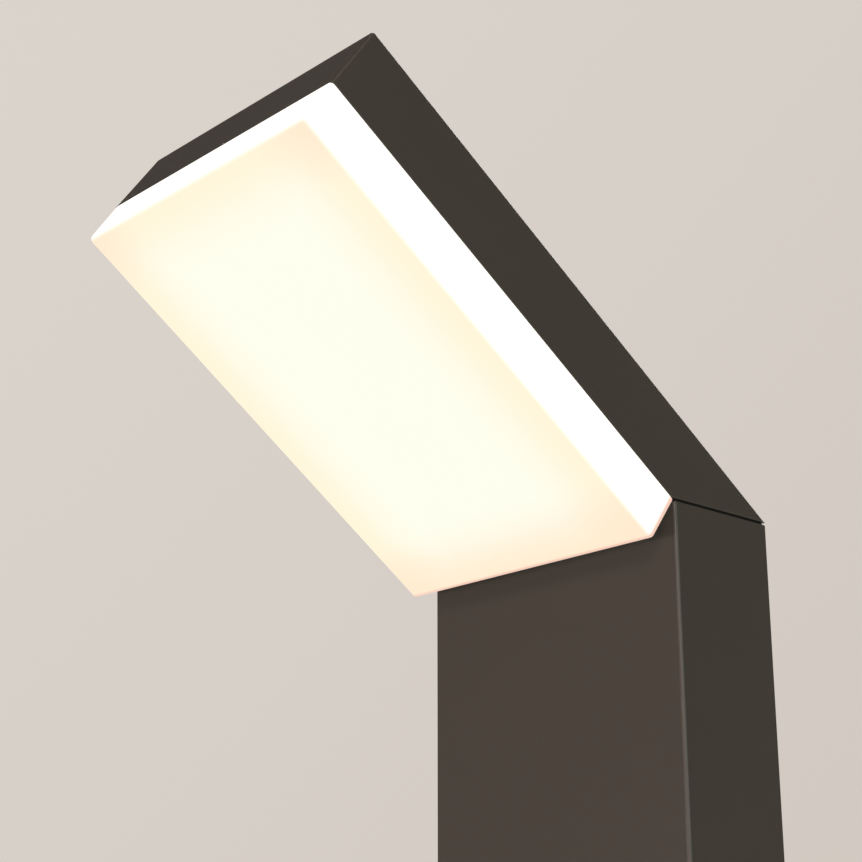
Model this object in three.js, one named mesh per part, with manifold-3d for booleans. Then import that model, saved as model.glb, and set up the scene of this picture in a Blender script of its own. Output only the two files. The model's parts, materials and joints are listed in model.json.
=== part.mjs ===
// A bollard light for paths and drives, in millimetres, with +Z up.
//
// A flat rectangular post stands on a bolted base plate. On its top sits a flat lamp head that
// leans forward and up, towards -Y, with an opal light box on its underside. The origin is the
// centre of the base plate's underside. The whole model is one group; the pieces inside the lamp
// head hang in a tilted group of their own, whose origin is the middle of the shell's lower
// front edge: there +Y runs back and down along the head, and +Z is square to its underside.

import * as THREE from 'three';
import { mergeVertices } from 'three/addons/utils/BufferGeometryUtils.js';
import Module from 'manifold-3d';

const wasm = await Module();
wasm.setup();

// ---------------------------------------------------------------- driving dimensions

// The air between two pieces that touch or pass through each other.
const GAP = 0.3;

// Post: a rectangular aluminium tube.
const POST_WIDTH = 128;
const POST_DEPTH = 52;
const POST_WALL = 3;
const POST_CORNER = 1.5;

// The joint between the post and the head is a thin horizontal seam, filled by a gasket.
const JOINT_HEIGHT = 665;
const SEAM = 1;
const POST_TOP = JOINT_HEIGHT - SEAM / 2;
const HEAD_SEAT = JOINT_HEIGHT + SEAM / 2;

// Head: its lower end is cut level, flush with the post's back and a little proud of its front,
// so its thickness follows from the post's depth.
const HEAD_TILT = THREE.MathUtils.degToRad(34.7);
const HEAD_NOSE = 1.7;
const HEAD_FRONT = -POST_DEPTH / 2 - HEAD_NOSE;
const HEAD_LENGTH = 191.6;
const SEAT_DEPTH = POST_DEPTH + HEAD_NOSE;
const HEAD_THICKNESS = SEAT_DEPTH * Math.sin(HEAD_TILT);
const HEAD_WALL = 2.8;
const HEAD_FLOOR = 4;

// Diffuser: an opal box that hangs below the shell's rim. Its lower end covers the head's nose.
const DIFFUSER_DEPTH = 20.3;
const DIFFUSER_WALL = 3;
const DIFFUSER_DRAFT = 0.3;
const DIFFUSER_FOOT = 1.8;
const LIP_HEIGHT = 6;
const LIP_WALL = 2.2;
const LIP_SIDE_INSET = 4.4;
const LIP_UPPER_INSET = 4.2;
const LIP_LOWER_INSET = 9;

// Base plate, with its four anchor holes and the hole that the supply cable comes up through.
const BASE_WIDTH = 160;
const BASE_DEPTH = 110;
const BASE_THICKNESS = 6;
const BASE_CORNER = 8;
const ANCHOR_X = 66;
const ANCHOR_Y = 43;
const ANCHOR_RADIUS = 4.5;
const ENTRY_X = -28;
const ENTRY_Y = -2;
const ENTRY_RADIUS = 17;

// Socket: the casting on the base plate that the post slides over.
const SOCKET_WALL = 4;
const SOCKET_TOP = 66;
const SOCKET_FLOOR = 30;
const SOCKET_FLOOR_THICKNESS = 4;
const SOCKET_CORNER = 1;
const SOCKET_SCREW_X = 50;
const SOCKET_SCREW_Y = 14;
const SOCKET_BOSS_X = 7;
const SOCKET_BOSS_Y = 5;
const SOCKET_TAP_DEPTH = 24;
const POST_GRUB_HEIGHT = 46;

// Cable gland, M20, hanging from the socket's floor.
const GLAND_THREAD = 10;
const GLAND_NECK = 9;
const GLAND_HEX = 13.8;
const GLAND_BORE = 5.5;
const GLAND_DOME = { foot: 8.5, mouth: 6, tip: 8.5, side: 12, shoulder: 13, lid: 10.5 };
const LOCK_NUT_HEIGHT = 5;
const FACE_SEAL_RADIUS = 13;
const CABLE_SEAL = { inner: 4.9, outer: 8.8 };

// Gear tray: a folded steel sheet that stands in the post and carries the electrical gear.
const TRAY_HALF_WIDTH = 40;
const TRAY_FRONT = 16;
const TRAY_SHEET = 1.4;
const TRAY_LIP = 8;
const TRAY_BOTTOM = 44;
const TRAY_TOP = 430;
const TRAY_SCREW_XS = [-25, 25];
const TRAY_SCREW_Z = 56;
const TRAY_SCREW_TIP_WALL = 0.5;

// Terminal block: three poles with a lever each.
const TERMINAL_HALF_WIDTH = 22;
const TERMINAL_FRONT = -2;
const TERMINAL_BOTTOM = 96;
const TERMINAL_TOP = 128;
const POLE_PITCH = 14;
const PIVOT_Y = 1;
const PIVOT_Z = 123;
const LEVER_WIDTH = 11;
const LEVER_LENGTH = 17;
const LEVER_THICKNESS = 2.4;
const LEVER_TIP = 2;
const LEVER_ARM = 1.8;
const HUB_RADIUS = 2.2;
const TRUNNION_RADIUS = 1.2;
const TRUNNION_LENGTH = 0.9;
const LEAD_ENTRY_Y = 10;

// Driver: the potted supply that feeds the LEDs.
const DRIVER_HALF_WIDTH = 25;
const DRIVER_FRONT = -8;
const DRIVER_BOTTOM = 170;
const DRIVER_TOP = 340;
const DRIVER_EAR = 12;

// Leads.
const LEAD_RADIUS = 1.3;
const LED_CABLE_RADIUS = 2;
const CABLE_HOLE_Y = -5;

// Neck: the casting in the post's top that the head is screwed to.
const NECK_HEIGHT = 36;
const NECK_TOP_THICKNESS = 5;
const NECK_TOP = POST_TOP - GAP;
const NECK_SCREW_X = 40;
const NECK_SCREW_Z = 645;
const HEAD_SCREW_X = 44;
const HEAD_SCREW_YS = [-13, 2];

// Light engine, measured in the head's own frame.
const BOARD_UNDERSIDE = 6.4;
const BOARD_THICKNESS = 1.6;
const BOARD_HALF_WIDTH = 42;
const BOARD_SPANS = { lower: [-105, -26], upper: [-186, -107] };
const SPREADER_THICKNESS = 3;
const SPREADER_HALF_WIDTH = 56;
const SPREADER_SPAN = [-187, -24];
const SPREADER_SCREW_X = 48;
const SPREADER_SCREW_YS = [-172, -40];
const BOARD_SCREW_X = 37;

// Screws, as shank radius, head radius and head height.
const M3 = { shank: 1.5, head: 2.7, headHeight: 1.8 };
const M4 = { shank: 2, head: 3.6, headHeight: 2.4 };
const M5 = { shank: 2.5, head: 4.3, headHeight: 3 };
const M6 = { shank: 3, head: 5.8, headHeight: 2.8 };
const SCREW_CLEARANCE = 0.35;
const SCREW_SIDES = 8;

// ---------------------------------------------------------------- materials

function finish(colour, roughness, metalness) {
  return new THREE.MeshStandardMaterial({ color: colour, roughness, metalness });
}

const POWDER_COAT = finish(0x3f3b36, 0.6, 0.1);
const CAST_ALUMINIUM = finish(0x9a9c9e, 0.5, 0.9);
const SHEET_STEEL = finish(0xb4b7ba, 0.4, 1.0);
const STAINLESS = finish(0xc4c6c8, 0.3, 1.0);
const OPAL = finish(0xfff4e2, 0.45, 0.0);
const BLACK_NYLON = finish(0x1c1c1e, 0.5, 0.0);
const WHITE_PLASTIC = finish(0xf2f1ee, 0.5, 0.0);
const GREY_PLASTIC = finish(0x9fa3a6, 0.5, 0.0);
const ORANGE_PLASTIC = finish(0xe0701c, 0.4, 0.0);
const RUBBER = finish(0x151515, 0.85, 0.0);
const COPPER_TIN = finish(0xcfc9bd, 0.35, 1.0);
const WIRE_BROWN = finish(0x5b3320, 0.5, 0.0);
const WIRE_BLUE = finish(0x1d56a8, 0.5, 0.0);
const WIRE_EARTH = finish(0x6f9a2a, 0.5, 0.0);
const CABLE_WHITE = finish(0xdedcd6, 0.5, 0.0);

// ---------------------------------------------------------------- solids

// A closed solid from a geometry whose shared vertices are merged.
function toSolid(geometry) {
  const bare = geometry.clone();
  bare.deleteAttribute('normal');
  bare.deleteAttribute('uv');
  const merged = mergeVertices(bare);
  return new wasm.Manifold(new wasm.Mesh({
    numProp: 3,
    vertProperties: merged.getAttribute('position').array,
    triVerts: new Uint32Array(merged.getIndex().array),
  }));
}

function toGeometry(solid) {
  const mesh = solid.getMesh();
  const geometry = new THREE.BufferGeometry();
  geometry.setAttribute('position', new THREE.BufferAttribute(mesh.vertProperties, 3));
  geometry.setIndex(new THREE.BufferAttribute(mesh.triVerts, 1));
  geometry.computeVertexNormals();
  return geometry;
}

function cut(base, ...cutters) {
  let solid = toSolid(base);
  for (const cutter of cutters) solid = solid.subtract(toSolid(cutter));
  return toGeometry(solid);
}

function join(base, ...others) {
  let solid = toSolid(base);
  for (const other of others) solid = solid.add(toSolid(other));
  return toGeometry(solid);
}

// ---------------------------------------------------------------- shapes

// A box between two corners.
function block([x0, y0, z0], [x1, y1, z1]) {
  const box = new THREE.BoxGeometry(x1 - x0, y1 - y0, z1 - z0);
  return box.translate((x0 + x1) / 2, (y0 + y1) / 2, (z0 + z1) / 2);
}

// A block whose lower and upper faces differ: each is { x: half width, y: [low, high], z }.
function taperedBlock(low, high) {
  const box = new THREE.BoxGeometry(2, 2, 2);
  const corners = box.getAttribute('position');
  for (let i = 0; i < corners.count; i += 1) {
    const face = corners.getZ(i) < 0 ? low : high;
    const x = corners.getX(i) * face.x;
    const y = face.y[corners.getY(i) < 0 ? 0 : 1];
    corners.setXYZ(i, x, y, face.z);
  }
  return box;
}

function roundedRectangle(path, width, depth, radius) {
  const x = width / 2;
  const y = depth / 2;
  path.moveTo(radius - x, -y);
  path.lineTo(x - radius, -y);
  path.absarc(x - radius, radius - y, radius, -Math.PI / 2, 0);
  path.lineTo(x, y - radius);
  path.absarc(x - radius, y - radius, radius, 0, Math.PI / 2);
  path.lineTo(radius - x, y);
  path.absarc(radius - x, y - radius, radius, Math.PI / 2, Math.PI);
  path.lineTo(-x, radius - y);
  path.absarc(radius - x, radius - y, radius, Math.PI, Math.PI * 1.5);
  return path;
}

// A plate with rounded corners, centred on Z, from z0 to z1.
function roundedPlate(width, depth, radius, z0, z1) {
  const outline = roundedRectangle(new THREE.Shape(), width, depth, radius);
  const extrusion = { depth: z1 - z0, bevelEnabled: false, curveSegments: 4 };
  return new THREE.ExtrudeGeometry(outline, extrusion).translate(0, 0, z0);
}

// A rectangular tube with rounded corners, centred on Z, from z0 to z1.
function rectangularTube(width, depth, wall, radius, z0, z1) {
  const outline = roundedRectangle(new THREE.Shape(), width, depth, radius);
  const inner = new THREE.Path();
  const innerRadius = Math.max(radius - wall, 0.5);
  roundedRectangle(inner, width - 2 * wall, depth - 2 * wall, innerRadius);
  outline.holes.push(inner);
  const extrusion = { depth: z1 - z0, bevelEnabled: false, curveSegments: 3 };
  return new THREE.ExtrudeGeometry(outline, extrusion).translate(0, 0, z0);
}

// A side outline of [y, z] points, extruded across X and centred on it.
function sideProfile(points, width) {
  const outline = new THREE.Shape(points.map(([y, z]) => new THREE.Vector2(y, z)));
  const extrusion = { depth: width, bevelEnabled: false };
  const turn = new THREE.Matrix4().makeBasis(
    new THREE.Vector3(0, 1, 0),
    new THREE.Vector3(0, 0, 1),
    new THREE.Vector3(1, 0, 0),
  );
  return new THREE.ExtrudeGeometry(outline, extrusion)
    .applyMatrix4(turn)
    .translate(-width / 2, 0, 0);
}

// An upright round bar, or a hexagonal one with six sides.
function upright(radius, z0, z1, sides = 12) {
  return new THREE.CylinderGeometry(radius, radius, z1 - z0, sides)
    .rotateX(Math.PI / 2)
    .translate(0, 0, (z0 + z1) / 2);
}

// A round bar along X, and one along Y.
function alongX(radius, x0, x1, y, z, sides = SCREW_SIDES) {
  return upright(radius, x0, x1, sides).rotateY(Math.PI / 2).translate(0, y, z);
}

function alongY(radius, y0, y1, x, z, sides = SCREW_SIDES) {
  return upright(radius, -y1, -y0, sides).rotateX(Math.PI / 2).translate(x, 0, z);
}

// A turned solid about Z from a profile of [radius, z] points that runs upwards outside.
function turned(points, sides = 12) {
  const profile = points.map(([radius, z]) => new THREE.Vector2(radius, z));
  return new THREE.LatheGeometry(profile, sides).rotateX(Math.PI / 2);
}

// A turned ring, from its inner and outer radius and its two heights.
function ring(inner, outer, z0, z1) {
  return turned([[inner, z0], [outer, z0], [outer, z1], [inner, z1], [inner, z0]]);
}

// A round lead along a smooth curve through the given points.
function lead(points, radius, steps) {
  const route = new THREE.CatmullRomCurve3(points.map((p) => new THREE.Vector3(...p)));
  const section = new THREE.Shape();
  section.absarc(0, 0, radius, 0, Math.PI * 2);
  return new THREE.ExtrudeGeometry(section, {
    steps,
    curveSegments: 4,
    extrudePath: route,
  });
}

// Screws stand on their heads' undersides at z = 0, with the shank pointing down.
function panScrew({ shank, head, headHeight }, length) {
  const drive = shank * 0.6;
  const floor = headHeight * 0.4;
  return turned([
    [0, -length],
    [shank, -length],
    [shank, 0],
    [head, 0],
    [head, headHeight],
    [drive, headHeight],
    [drive, floor],
    [0, floor],
  ], SCREW_SIDES);
}

// A countersunk screw's face is at z = 0.
function countersunkScrew({ shank, head, headHeight }, length) {
  const drive = shank * 0.6;
  const floor = -headHeight * 0.6;
  return turned([
    [0, -length],
    [shank, -length],
    [shank, -headHeight],
    [head, 0],
    [drive, 0],
    [drive, floor],
    [0, floor],
  ], SCREW_SIDES);
}

// A grub screw's outer end is at z = 0.
function grubScrew({ shank }, length) {
  const drive = shank * 0.55;
  const floor = -shank;
  return turned([
    [0, -length],
    [shank, -length],
    [shank, 0],
    [drive, 0],
    [drive, floor],
    [0, floor],
  ], SCREW_SIDES);
}

function screwHole({ shank }, z0, z1, x, y) {
  return upright(shank + SCREW_CLEARANCE, z0, z1, SCREW_SIDES).translate(x, y, 0);
}

// ---------------------------------------------------------------- assembly helpers

const bollard = new THREE.Group();
const head = new THREE.Group();
head.position.set(0, HEAD_FRONT, HEAD_SEAT);
head.rotation.x = -HEAD_TILT;
bollard.add(head);

function add(parent, name, geometry, material, position = [0, 0, 0], rotation = [0, 0, 0]) {
  const mesh = new THREE.Mesh(geometry, material);
  mesh.name = name;
  mesh.position.set(...position);
  mesh.rotation.set(...rotation);
  parent.add(mesh);
  return mesh;
}

const FACE_DOWN = [Math.PI, 0, 0];
const FACE_FRONT = [Math.PI / 2, 0, 0];
const FACE_BACK = [-Math.PI / 2, 0, 0];
const FACE_LEFT = [0, -Math.PI / 2, 0];
const FACE_RIGHT = [0, Math.PI / 2, 0];

function mirroredPairs(x, ys) {
  return ys.flatMap((y) => [[-x, y], [x, y]]);
}

// ---------------------------------------------------------------- base

const SOCKET_SCREWS = mirroredPairs(SOCKET_SCREW_X, [-SOCKET_SCREW_Y, SOCKET_SCREW_Y]);
const SOCKET_SCREW_LENGTH = 20;
const SOCKET_FOOT = BASE_THICKNESS + GAP;
const SOCKET_WIDTH = POST_WIDTH - 2 * (POST_WALL + GAP);
const SOCKET_DEPTH = POST_DEPTH - 2 * (POST_WALL + GAP);

function basePlate() {
  const plate = roundedPlate(BASE_WIDTH, BASE_DEPTH, BASE_CORNER, 0, BASE_THICKNESS);
  const entry = upright(ENTRY_RADIUS, -1, BASE_THICKNESS + 1, 20).translate(ENTRY_X, ENTRY_Y, 0);
  const anchors = mirroredPairs(ANCHOR_X, [-ANCHOR_Y, ANCHOR_Y])
    .map(([x, y]) => upright(ANCHOR_RADIUS, -1, BASE_THICKNESS + 1).translate(x, y, 0));
  const wide = M6.head + SCREW_CLEARANCE;
  const narrow = M6.shank + SCREW_CLEARANCE;
  const countersink = turned([
    [0, -1],
    [wide, -1],
    [wide, GAP],
    [narrow, GAP + M6.headHeight],
    [narrow, BASE_THICKNESS + 1],
    [0, BASE_THICKNESS + 1],
  ]);
  const seats = SOCKET_SCREWS.map(([x, y]) => countersink.clone().translate(x, y, 0));
  return cut(plate, entry, ...anchors, ...seats);
}

function postSocket() {
  const walls = rectangularTube(
    SOCKET_WIDTH, SOCKET_DEPTH, SOCKET_WALL, SOCKET_CORNER, SOCKET_FOOT, SOCKET_TOP,
  );
  const x = SOCKET_WIDTH / 2 - SOCKET_CORNER;
  const y = SOCKET_DEPTH / 2 - SOCKET_CORNER;
  const floorTop = SOCKET_FLOOR + SOCKET_FLOOR_THICKNESS;
  const floor = block([-x, -y, SOCKET_FLOOR], [x, y, floorTop]);
  const bossX = SOCKET_SCREW_X - SOCKET_BOSS_X;
  const bossY = SOCKET_SCREW_Y - SOCKET_BOSS_Y;
  const bosses = SOCKET_SCREWS.map(([sx, sy]) => {
    const across = sx > 0 ? [bossX, x] : [-x, -bossX];
    const along = sy > 0 ? [bossY, y] : [-y, -bossY];
    return block([across[0], along[0], SOCKET_FOOT], [across[1], along[1], SOCKET_FLOOR + 1]);
  });
  const tapped = SOCKET_SCREWS.map(([sx, sy]) => screwHole(M6, 0, SOCKET_TAP_DEPTH, sx, sy));
  const glandHole = upright(GLAND_THREAD + GAP, 20, 40, 16).translate(ENTRY_X, ENTRY_Y, 0);
  const reach = SOCKET_WIDTH / 2 + 1;
  const grubHole = alongX(M6.shank + SCREW_CLEARANCE, -reach, reach, 0, POST_GRUB_HEIGHT);
  const trayHoleEnd = SOCKET_DEPTH / 2 - TRAY_SCREW_TIP_WALL;
  const trayHoles = TRAY_SCREW_XS.map((sx) => (
    alongY(M4.shank + SCREW_CLEARANCE, TRAY_FRONT, trayHoleEnd, sx, TRAY_SCREW_Z)
  ));
  return cut(join(walls, floor, ...bosses), ...tapped, glandHole, grubHole, ...trayHoles);
}

add(bollard, 'base_plate', basePlate(), POWDER_COAT);
add(bollard, 'post_socket', postSocket(), CAST_ALUMINIUM);
SOCKET_SCREWS.forEach(([x, y], i) => {
  const screw = countersunkScrew(M6, SOCKET_SCREW_LENGTH);
  add(bollard, `socket_screw_${i + 1}`, screw, STAINLESS, [x, y, GAP], FACE_DOWN);
});

// ---------------------------------------------------------------- cable gland

const GLAND_FLANGE = [24.4, 28.4];
const GLAND_TAIL = 14;
const GLAND_TIP = 44;

function glandBody() {
  const hexagon = upright(GLAND_HEX, GLAND_FLANGE[0], GLAND_FLANGE[1], 6);
  const tail = upright(GLAND_NECK, GLAND_TAIL, GLAND_FLANGE[0] + 1);
  const thread = upright(GLAND_THREAD, GLAND_FLANGE[1] - 1, GLAND_TIP);
  const bore = upright(GLAND_BORE, GLAND_TAIL - 1, GLAND_TIP + 1);
  return cut(join(hexagon, tail, thread), bore);
}

function glandDomeNut() {
  const { foot, mouth, tip, side, shoulder, lid } = GLAND_DOME;
  const top = GLAND_FLANGE[0] - GAP;
  const inside = GLAND_NECK + GAP * 2;
  return turned([
    [mouth, foot],
    [tip, foot],
    [side, shoulder],
    [side, top],
    [inside, top],
    [inside, lid],
    [mouth, lid],
    [mouth, foot],
  ]);
}

function glandLockNut() {
  const foot = SOCKET_FLOOR + SOCKET_FLOOR_THICKNESS + GAP;
  const top = foot + LOCK_NUT_HEIGHT - GAP;
  const nut = upright(GLAND_HEX, foot, top, 6);
  return cut(nut, upright(GLAND_THREAD + GAP * 2, foot - 1, top + 1));
}

const glandPlace = [ENTRY_X, ENTRY_Y, 0];
const faceSeal = ring(
  GLAND_THREAD + GAP * 2, FACE_SEAL_RADIUS, GLAND_FLANGE[1] + GAP, SOCKET_FLOOR - GAP,
);
const cableSeal = ring(
  CABLE_SEAL.inner, CABLE_SEAL.outer, GLAND_DOME.lid + GAP, GLAND_TAIL - GAP,
);
add(bollard, 'cable_gland_body', glandBody(), BLACK_NYLON, glandPlace);
add(bollard, 'cable_gland_dome_nut', glandDomeNut(), BLACK_NYLON, glandPlace);
add(bollard, 'cable_gland_lock_nut', glandLockNut(), BLACK_NYLON, glandPlace);
add(bollard, 'cable_gland_face_seal', faceSeal, RUBBER, glandPlace);
add(bollard, 'cable_gland_cable_seal', cableSeal, RUBBER, glandPlace);

// ---------------------------------------------------------------- post

function postTube() {
  const tube = rectangularTube(
    POST_WIDTH, POST_DEPTH, POST_WALL, POST_CORNER, BASE_THICKNESS + GAP, POST_TOP,
  );
  const radius = M6.shank + SCREW_CLEARANCE;
  const reach = POST_WIDTH / 2 + 1;
  const grubHoles = alongX(radius, -reach, reach, 0, POST_GRUB_HEIGHT);
  const neckHoles = [-NECK_SCREW_X, NECK_SCREW_X].map((x) => (
    alongY(radius, POST_DEPTH / 2 - POST_WALL - 1, POST_DEPTH / 2 + 1, x, NECK_SCREW_Z)
  ));
  return cut(tube, grubHoles, ...neckHoles);
}

const GRUB_LENGTH = 7;
const grubX = POST_WIDTH / 2 - GAP;
add(bollard, 'post_tube', postTube(), POWDER_COAT);
add(bollard, 'post_grub_screw_left', grubScrew(M6, GRUB_LENGTH), STAINLESS,
  [-grubX, 0, POST_GRUB_HEIGHT], FACE_LEFT);
add(bollard, 'post_grub_screw_right', grubScrew(M6, GRUB_LENGTH), STAINLESS,
  [grubX, 0, POST_GRUB_HEIGHT], FACE_RIGHT);

// ---------------------------------------------------------------- gear tray

const TERMINAL_EAR = 9;
const TERMINAL_EAR_Y = 12.5;
const TERMINAL_SCREW_X = TERMINAL_HALF_WIDTH + TERMINAL_EAR / 2;
const TERMINAL_SCREW_Z = 112;
const DRIVER_SCREW_ZS = [DRIVER_BOTTOM - DRIVER_EAR / 2, DRIVER_TOP + DRIVER_EAR / 2];
const DRIVER_EAR_Y = 13;
const EARTH_X = 33;
const EARTH_Z = 78;

function gearTray() {
  const back = TRAY_FRONT + TRAY_SHEET;
  const w = TRAY_HALF_WIDTH;
  const sheet = block([-w, TRAY_FRONT, TRAY_BOTTOM], [w, back, TRAY_TOP]);
  const lips = [[-w, TRAY_SHEET - w], [w - TRAY_SHEET, w]].map(([x0, x1]) => (
    block([x0, back - TRAY_LIP, TRAY_BOTTOM], [x1, back, TRAY_TOP])
  ));
  const hole = ({ shank }, x, z) => (
    alongY(shank + SCREW_CLEARANCE, TRAY_FRONT - 1, back + 1, x, z)
  );
  return cut(
    join(sheet, ...lips),
    ...TRAY_SCREW_XS.map((x) => hole(M4, x, TRAY_SCREW_Z)),
    ...[-1, 1].map((side) => hole(M3, side * TERMINAL_SCREW_X, TERMINAL_SCREW_Z)),
    ...DRIVER_SCREW_ZS.map((z) => hole(M4, 0, z)),
    hole(M4, EARTH_X, EARTH_Z),
  );
}

add(bollard, 'gear_tray', gearTray(), SHEET_STEEL);
add(bollard, 'gear_tray_screw_left', panScrew(M4, 5), STAINLESS,
  [TRAY_SCREW_XS[0], TRAY_FRONT - GAP, TRAY_SCREW_Z], FACE_FRONT);
add(bollard, 'gear_tray_screw_right', panScrew(M4, 5), STAINLESS,
  [TRAY_SCREW_XS[1], TRAY_FRONT - GAP, TRAY_SCREW_Z], FACE_FRONT);

// ---------------------------------------------------------------- terminal block

const POLES = { live: -POLE_PITCH, neutral: 0, earth: POLE_PITCH };
const RECESS_HALF_WIDTH = LEVER_WIDTH / 2 + GAP;
const RECESS_REACH = 3.5;
const SUPPLY_ENTRY_RADIUS = 2.4;
const SUPPLY_ENTRY_DEPTH = 12;
const LEAD_ENTRY_RADIUS = 1.8;
const LEAD_ENTRY_DEPTH = 8;
const EAR_HALF_HEIGHT = 6;

function terminalHousing() {
  const backY = TRAY_FRONT - GAP;
  const w = TERMINAL_HALF_WIDTH;
  const body = block([-w, TERMINAL_FRONT, TERMINAL_BOTTOM], [w, backY, TERMINAL_TOP]);
  const ears = block(
    [-w - TERMINAL_EAR, TERMINAL_EAR_Y, TERMINAL_SCREW_Z - EAR_HALF_HEIGHT],
    [w + TERMINAL_EAR, backY, TERMINAL_SCREW_Z + EAR_HALF_HEIGHT],
  );
  const cutters = [alongX(TRUNNION_RADIUS + GAP, -w - 1, w + 1, PIVOT_Y, PIVOT_Z)];
  for (const x of Object.values(POLES)) {
    const supplyEnd = TERMINAL_BOTTOM + SUPPLY_ENTRY_DEPTH;
    const supply = upright(SUPPLY_ENTRY_RADIUS, TERMINAL_BOTTOM - 1, supplyEnd);
    const outlet = upright(LEAD_ENTRY_RADIUS, TERMINAL_TOP - LEAD_ENTRY_DEPTH, TERMINAL_TOP + 1);
    cutters.push(
      block(
        [x - RECESS_HALF_WIDTH, TERMINAL_FRONT - 1, PIVOT_Z - RECESS_REACH],
        [x + RECESS_HALF_WIDTH, PIVOT_Y + RECESS_REACH, TERMINAL_TOP + 1],
      ),
      supply.translate(x, LEAD_ENTRY_Y, 0),
      outlet.translate(x, LEAD_ENTRY_Y, 0),
    );
  }
  for (const side of [-1, 1]) {
    cutters.push(alongY(M3.shank + SCREW_CLEARANCE, TERMINAL_EAR_Y - 1, backY + 1,
      side * TERMINAL_SCREW_X, TERMINAL_SCREW_Z));
  }
  return cut(join(body, ears), ...cutters);
}

// A lever, about its own pivot: a flat paddle in front, a hub, and a stub pin at each side.
function terminalLever() {
  const w = LEVER_WIDTH / 2;
  const face = TERMINAL_FRONT - GAP - PIVOT_Y;
  const tip = LEVER_TIP - LEVER_LENGTH;
  const paddle = block([-w, face - LEVER_THICKNESS, tip], [w, face, LEVER_TIP]);
  const arm = block([-w, face - 1, -LEVER_ARM], [w, 0, LEVER_ARM]);
  const hub = alongX(HUB_RADIUS, -w, w, 0, 0);
  const pins = alongX(TRUNNION_RADIUS, -w - TRUNNION_LENGTH, w + TRUNNION_LENGTH, 0, 0);
  return join(paddle, arm, hub, pins);
}

add(bollard, 'terminal_housing', terminalHousing(), GREY_PLASTIC);
for (const [side, x] of [['left', -TERMINAL_SCREW_X], ['right', TERMINAL_SCREW_X]]) {
  add(bollard, `terminal_screw_${side}`, panScrew(M3, 7), STAINLESS,
    [x, TERMINAL_EAR_Y - GAP, TERMINAL_SCREW_Z], FACE_FRONT);
}
for (const [pole, x] of Object.entries(POLES)) {
  add(bollard, `terminal_lever_${pole}`, terminalLever(), ORANGE_PLASTIC, [x, PIVOT_Y, PIVOT_Z]);
}

// ---------------------------------------------------------------- driver

const DRIVER_LEAD_X = 8;
const DRIVER_LEAD_Y = 4;
const DRIVER_INLET_DEPTH = 6;
const DRIVER_EAR_HALF_WIDTH = 10;
const DRIVER_OUTLET_RADIUS = LED_CABLE_RADIUS + 0.5;

function driverCase() {
  const backY = TRAY_FRONT - GAP;
  const w = DRIVER_HALF_WIDTH;
  const body = block([-w, DRIVER_FRONT, DRIVER_BOTTOM], [w, backY, DRIVER_TOP]);
  const ears = block(
    [-DRIVER_EAR_HALF_WIDTH, DRIVER_EAR_Y, DRIVER_BOTTOM - DRIVER_EAR],
    [DRIVER_EAR_HALF_WIDTH, backY, DRIVER_TOP + DRIVER_EAR],
  );
  const inlets = [-DRIVER_LEAD_X, DRIVER_LEAD_X].map((x) => (
    upright(LEAD_ENTRY_RADIUS, DRIVER_BOTTOM - 1, DRIVER_BOTTOM + DRIVER_INLET_DEPTH)
      .translate(x, DRIVER_LEAD_Y, 0)
  ));
  const outlet = upright(DRIVER_OUTLET_RADIUS, DRIVER_TOP - DRIVER_INLET_DEPTH, DRIVER_TOP + 1)
    .translate(0, DRIVER_LEAD_Y, 0);
  const screwHoles = DRIVER_SCREW_ZS.map((z) => (
    alongY(M4.shank + SCREW_CLEARANCE, DRIVER_EAR_Y - 1, backY + 1, 0, z)
  ));
  return cut(join(body, ears), ...inlets, outlet, ...screwHoles);
}

add(bollard, 'driver_case', driverCase(), WHITE_PLASTIC);
add(bollard, 'driver_screw_lower', panScrew(M4, 7), STAINLESS,
  [0, DRIVER_EAR_Y - GAP, DRIVER_SCREW_ZS[0]], FACE_FRONT);
add(bollard, 'driver_screw_upper', panScrew(M4, 7), STAINLESS,
  [0, DRIVER_EAR_Y - GAP, DRIVER_SCREW_ZS[1]], FACE_FRONT);

// ---------------------------------------------------------------- earth point and leads

const LUG_BARREL = [EARTH_Z + 5, EARTH_Z + 13];
const LUG_AXIS_Y = 13.4;
const LUG_EYE = 4.6;
const LUG_BARREL_RADIUS = 2.4;
const LUG_SHEET = 0.8;

// A ring lug: a flat eye on the tray with a crimp barrel standing above it.
function earthLug() {
  const backY = TRAY_FRONT - GAP;
  const eye = alongY(LUG_EYE, backY - LUG_SHEET, backY, 0, EARTH_Z, 16);
  const neck = block(
    [-LUG_BARREL_RADIUS, backY - LUG_SHEET, EARTH_Z + LUG_EYE / 2],
    [LUG_BARREL_RADIUS, backY, LUG_BARREL[1]],
  );
  const barrel = upright(LUG_BARREL_RADIUS, LUG_BARREL[0], LUG_BARREL[1])
    .translate(0, LUG_AXIS_Y, 0);
  const bore = upright(LEAD_RADIUS + GAP, LUG_BARREL[0] + 2, LUG_BARREL[1] + 1)
    .translate(0, LUG_AXIS_Y, 0);
  const hole = alongY(M4.shank + SCREW_CLEARANCE, backY - 2, backY + 1, 0, EARTH_Z);
  return cut(join(eye, neck, barrel), bore, hole);
}

add(bollard, 'earth_lug', earthLug(), COPPER_TIN, [EARTH_X, 0, 0]);
add(bollard, 'earth_screw', panScrew(M4, 6), STAINLESS,
  [EARTH_X, TRAY_FRONT - 2 * GAP - LUG_SHEET, EARTH_Z], FACE_FRONT);

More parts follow.
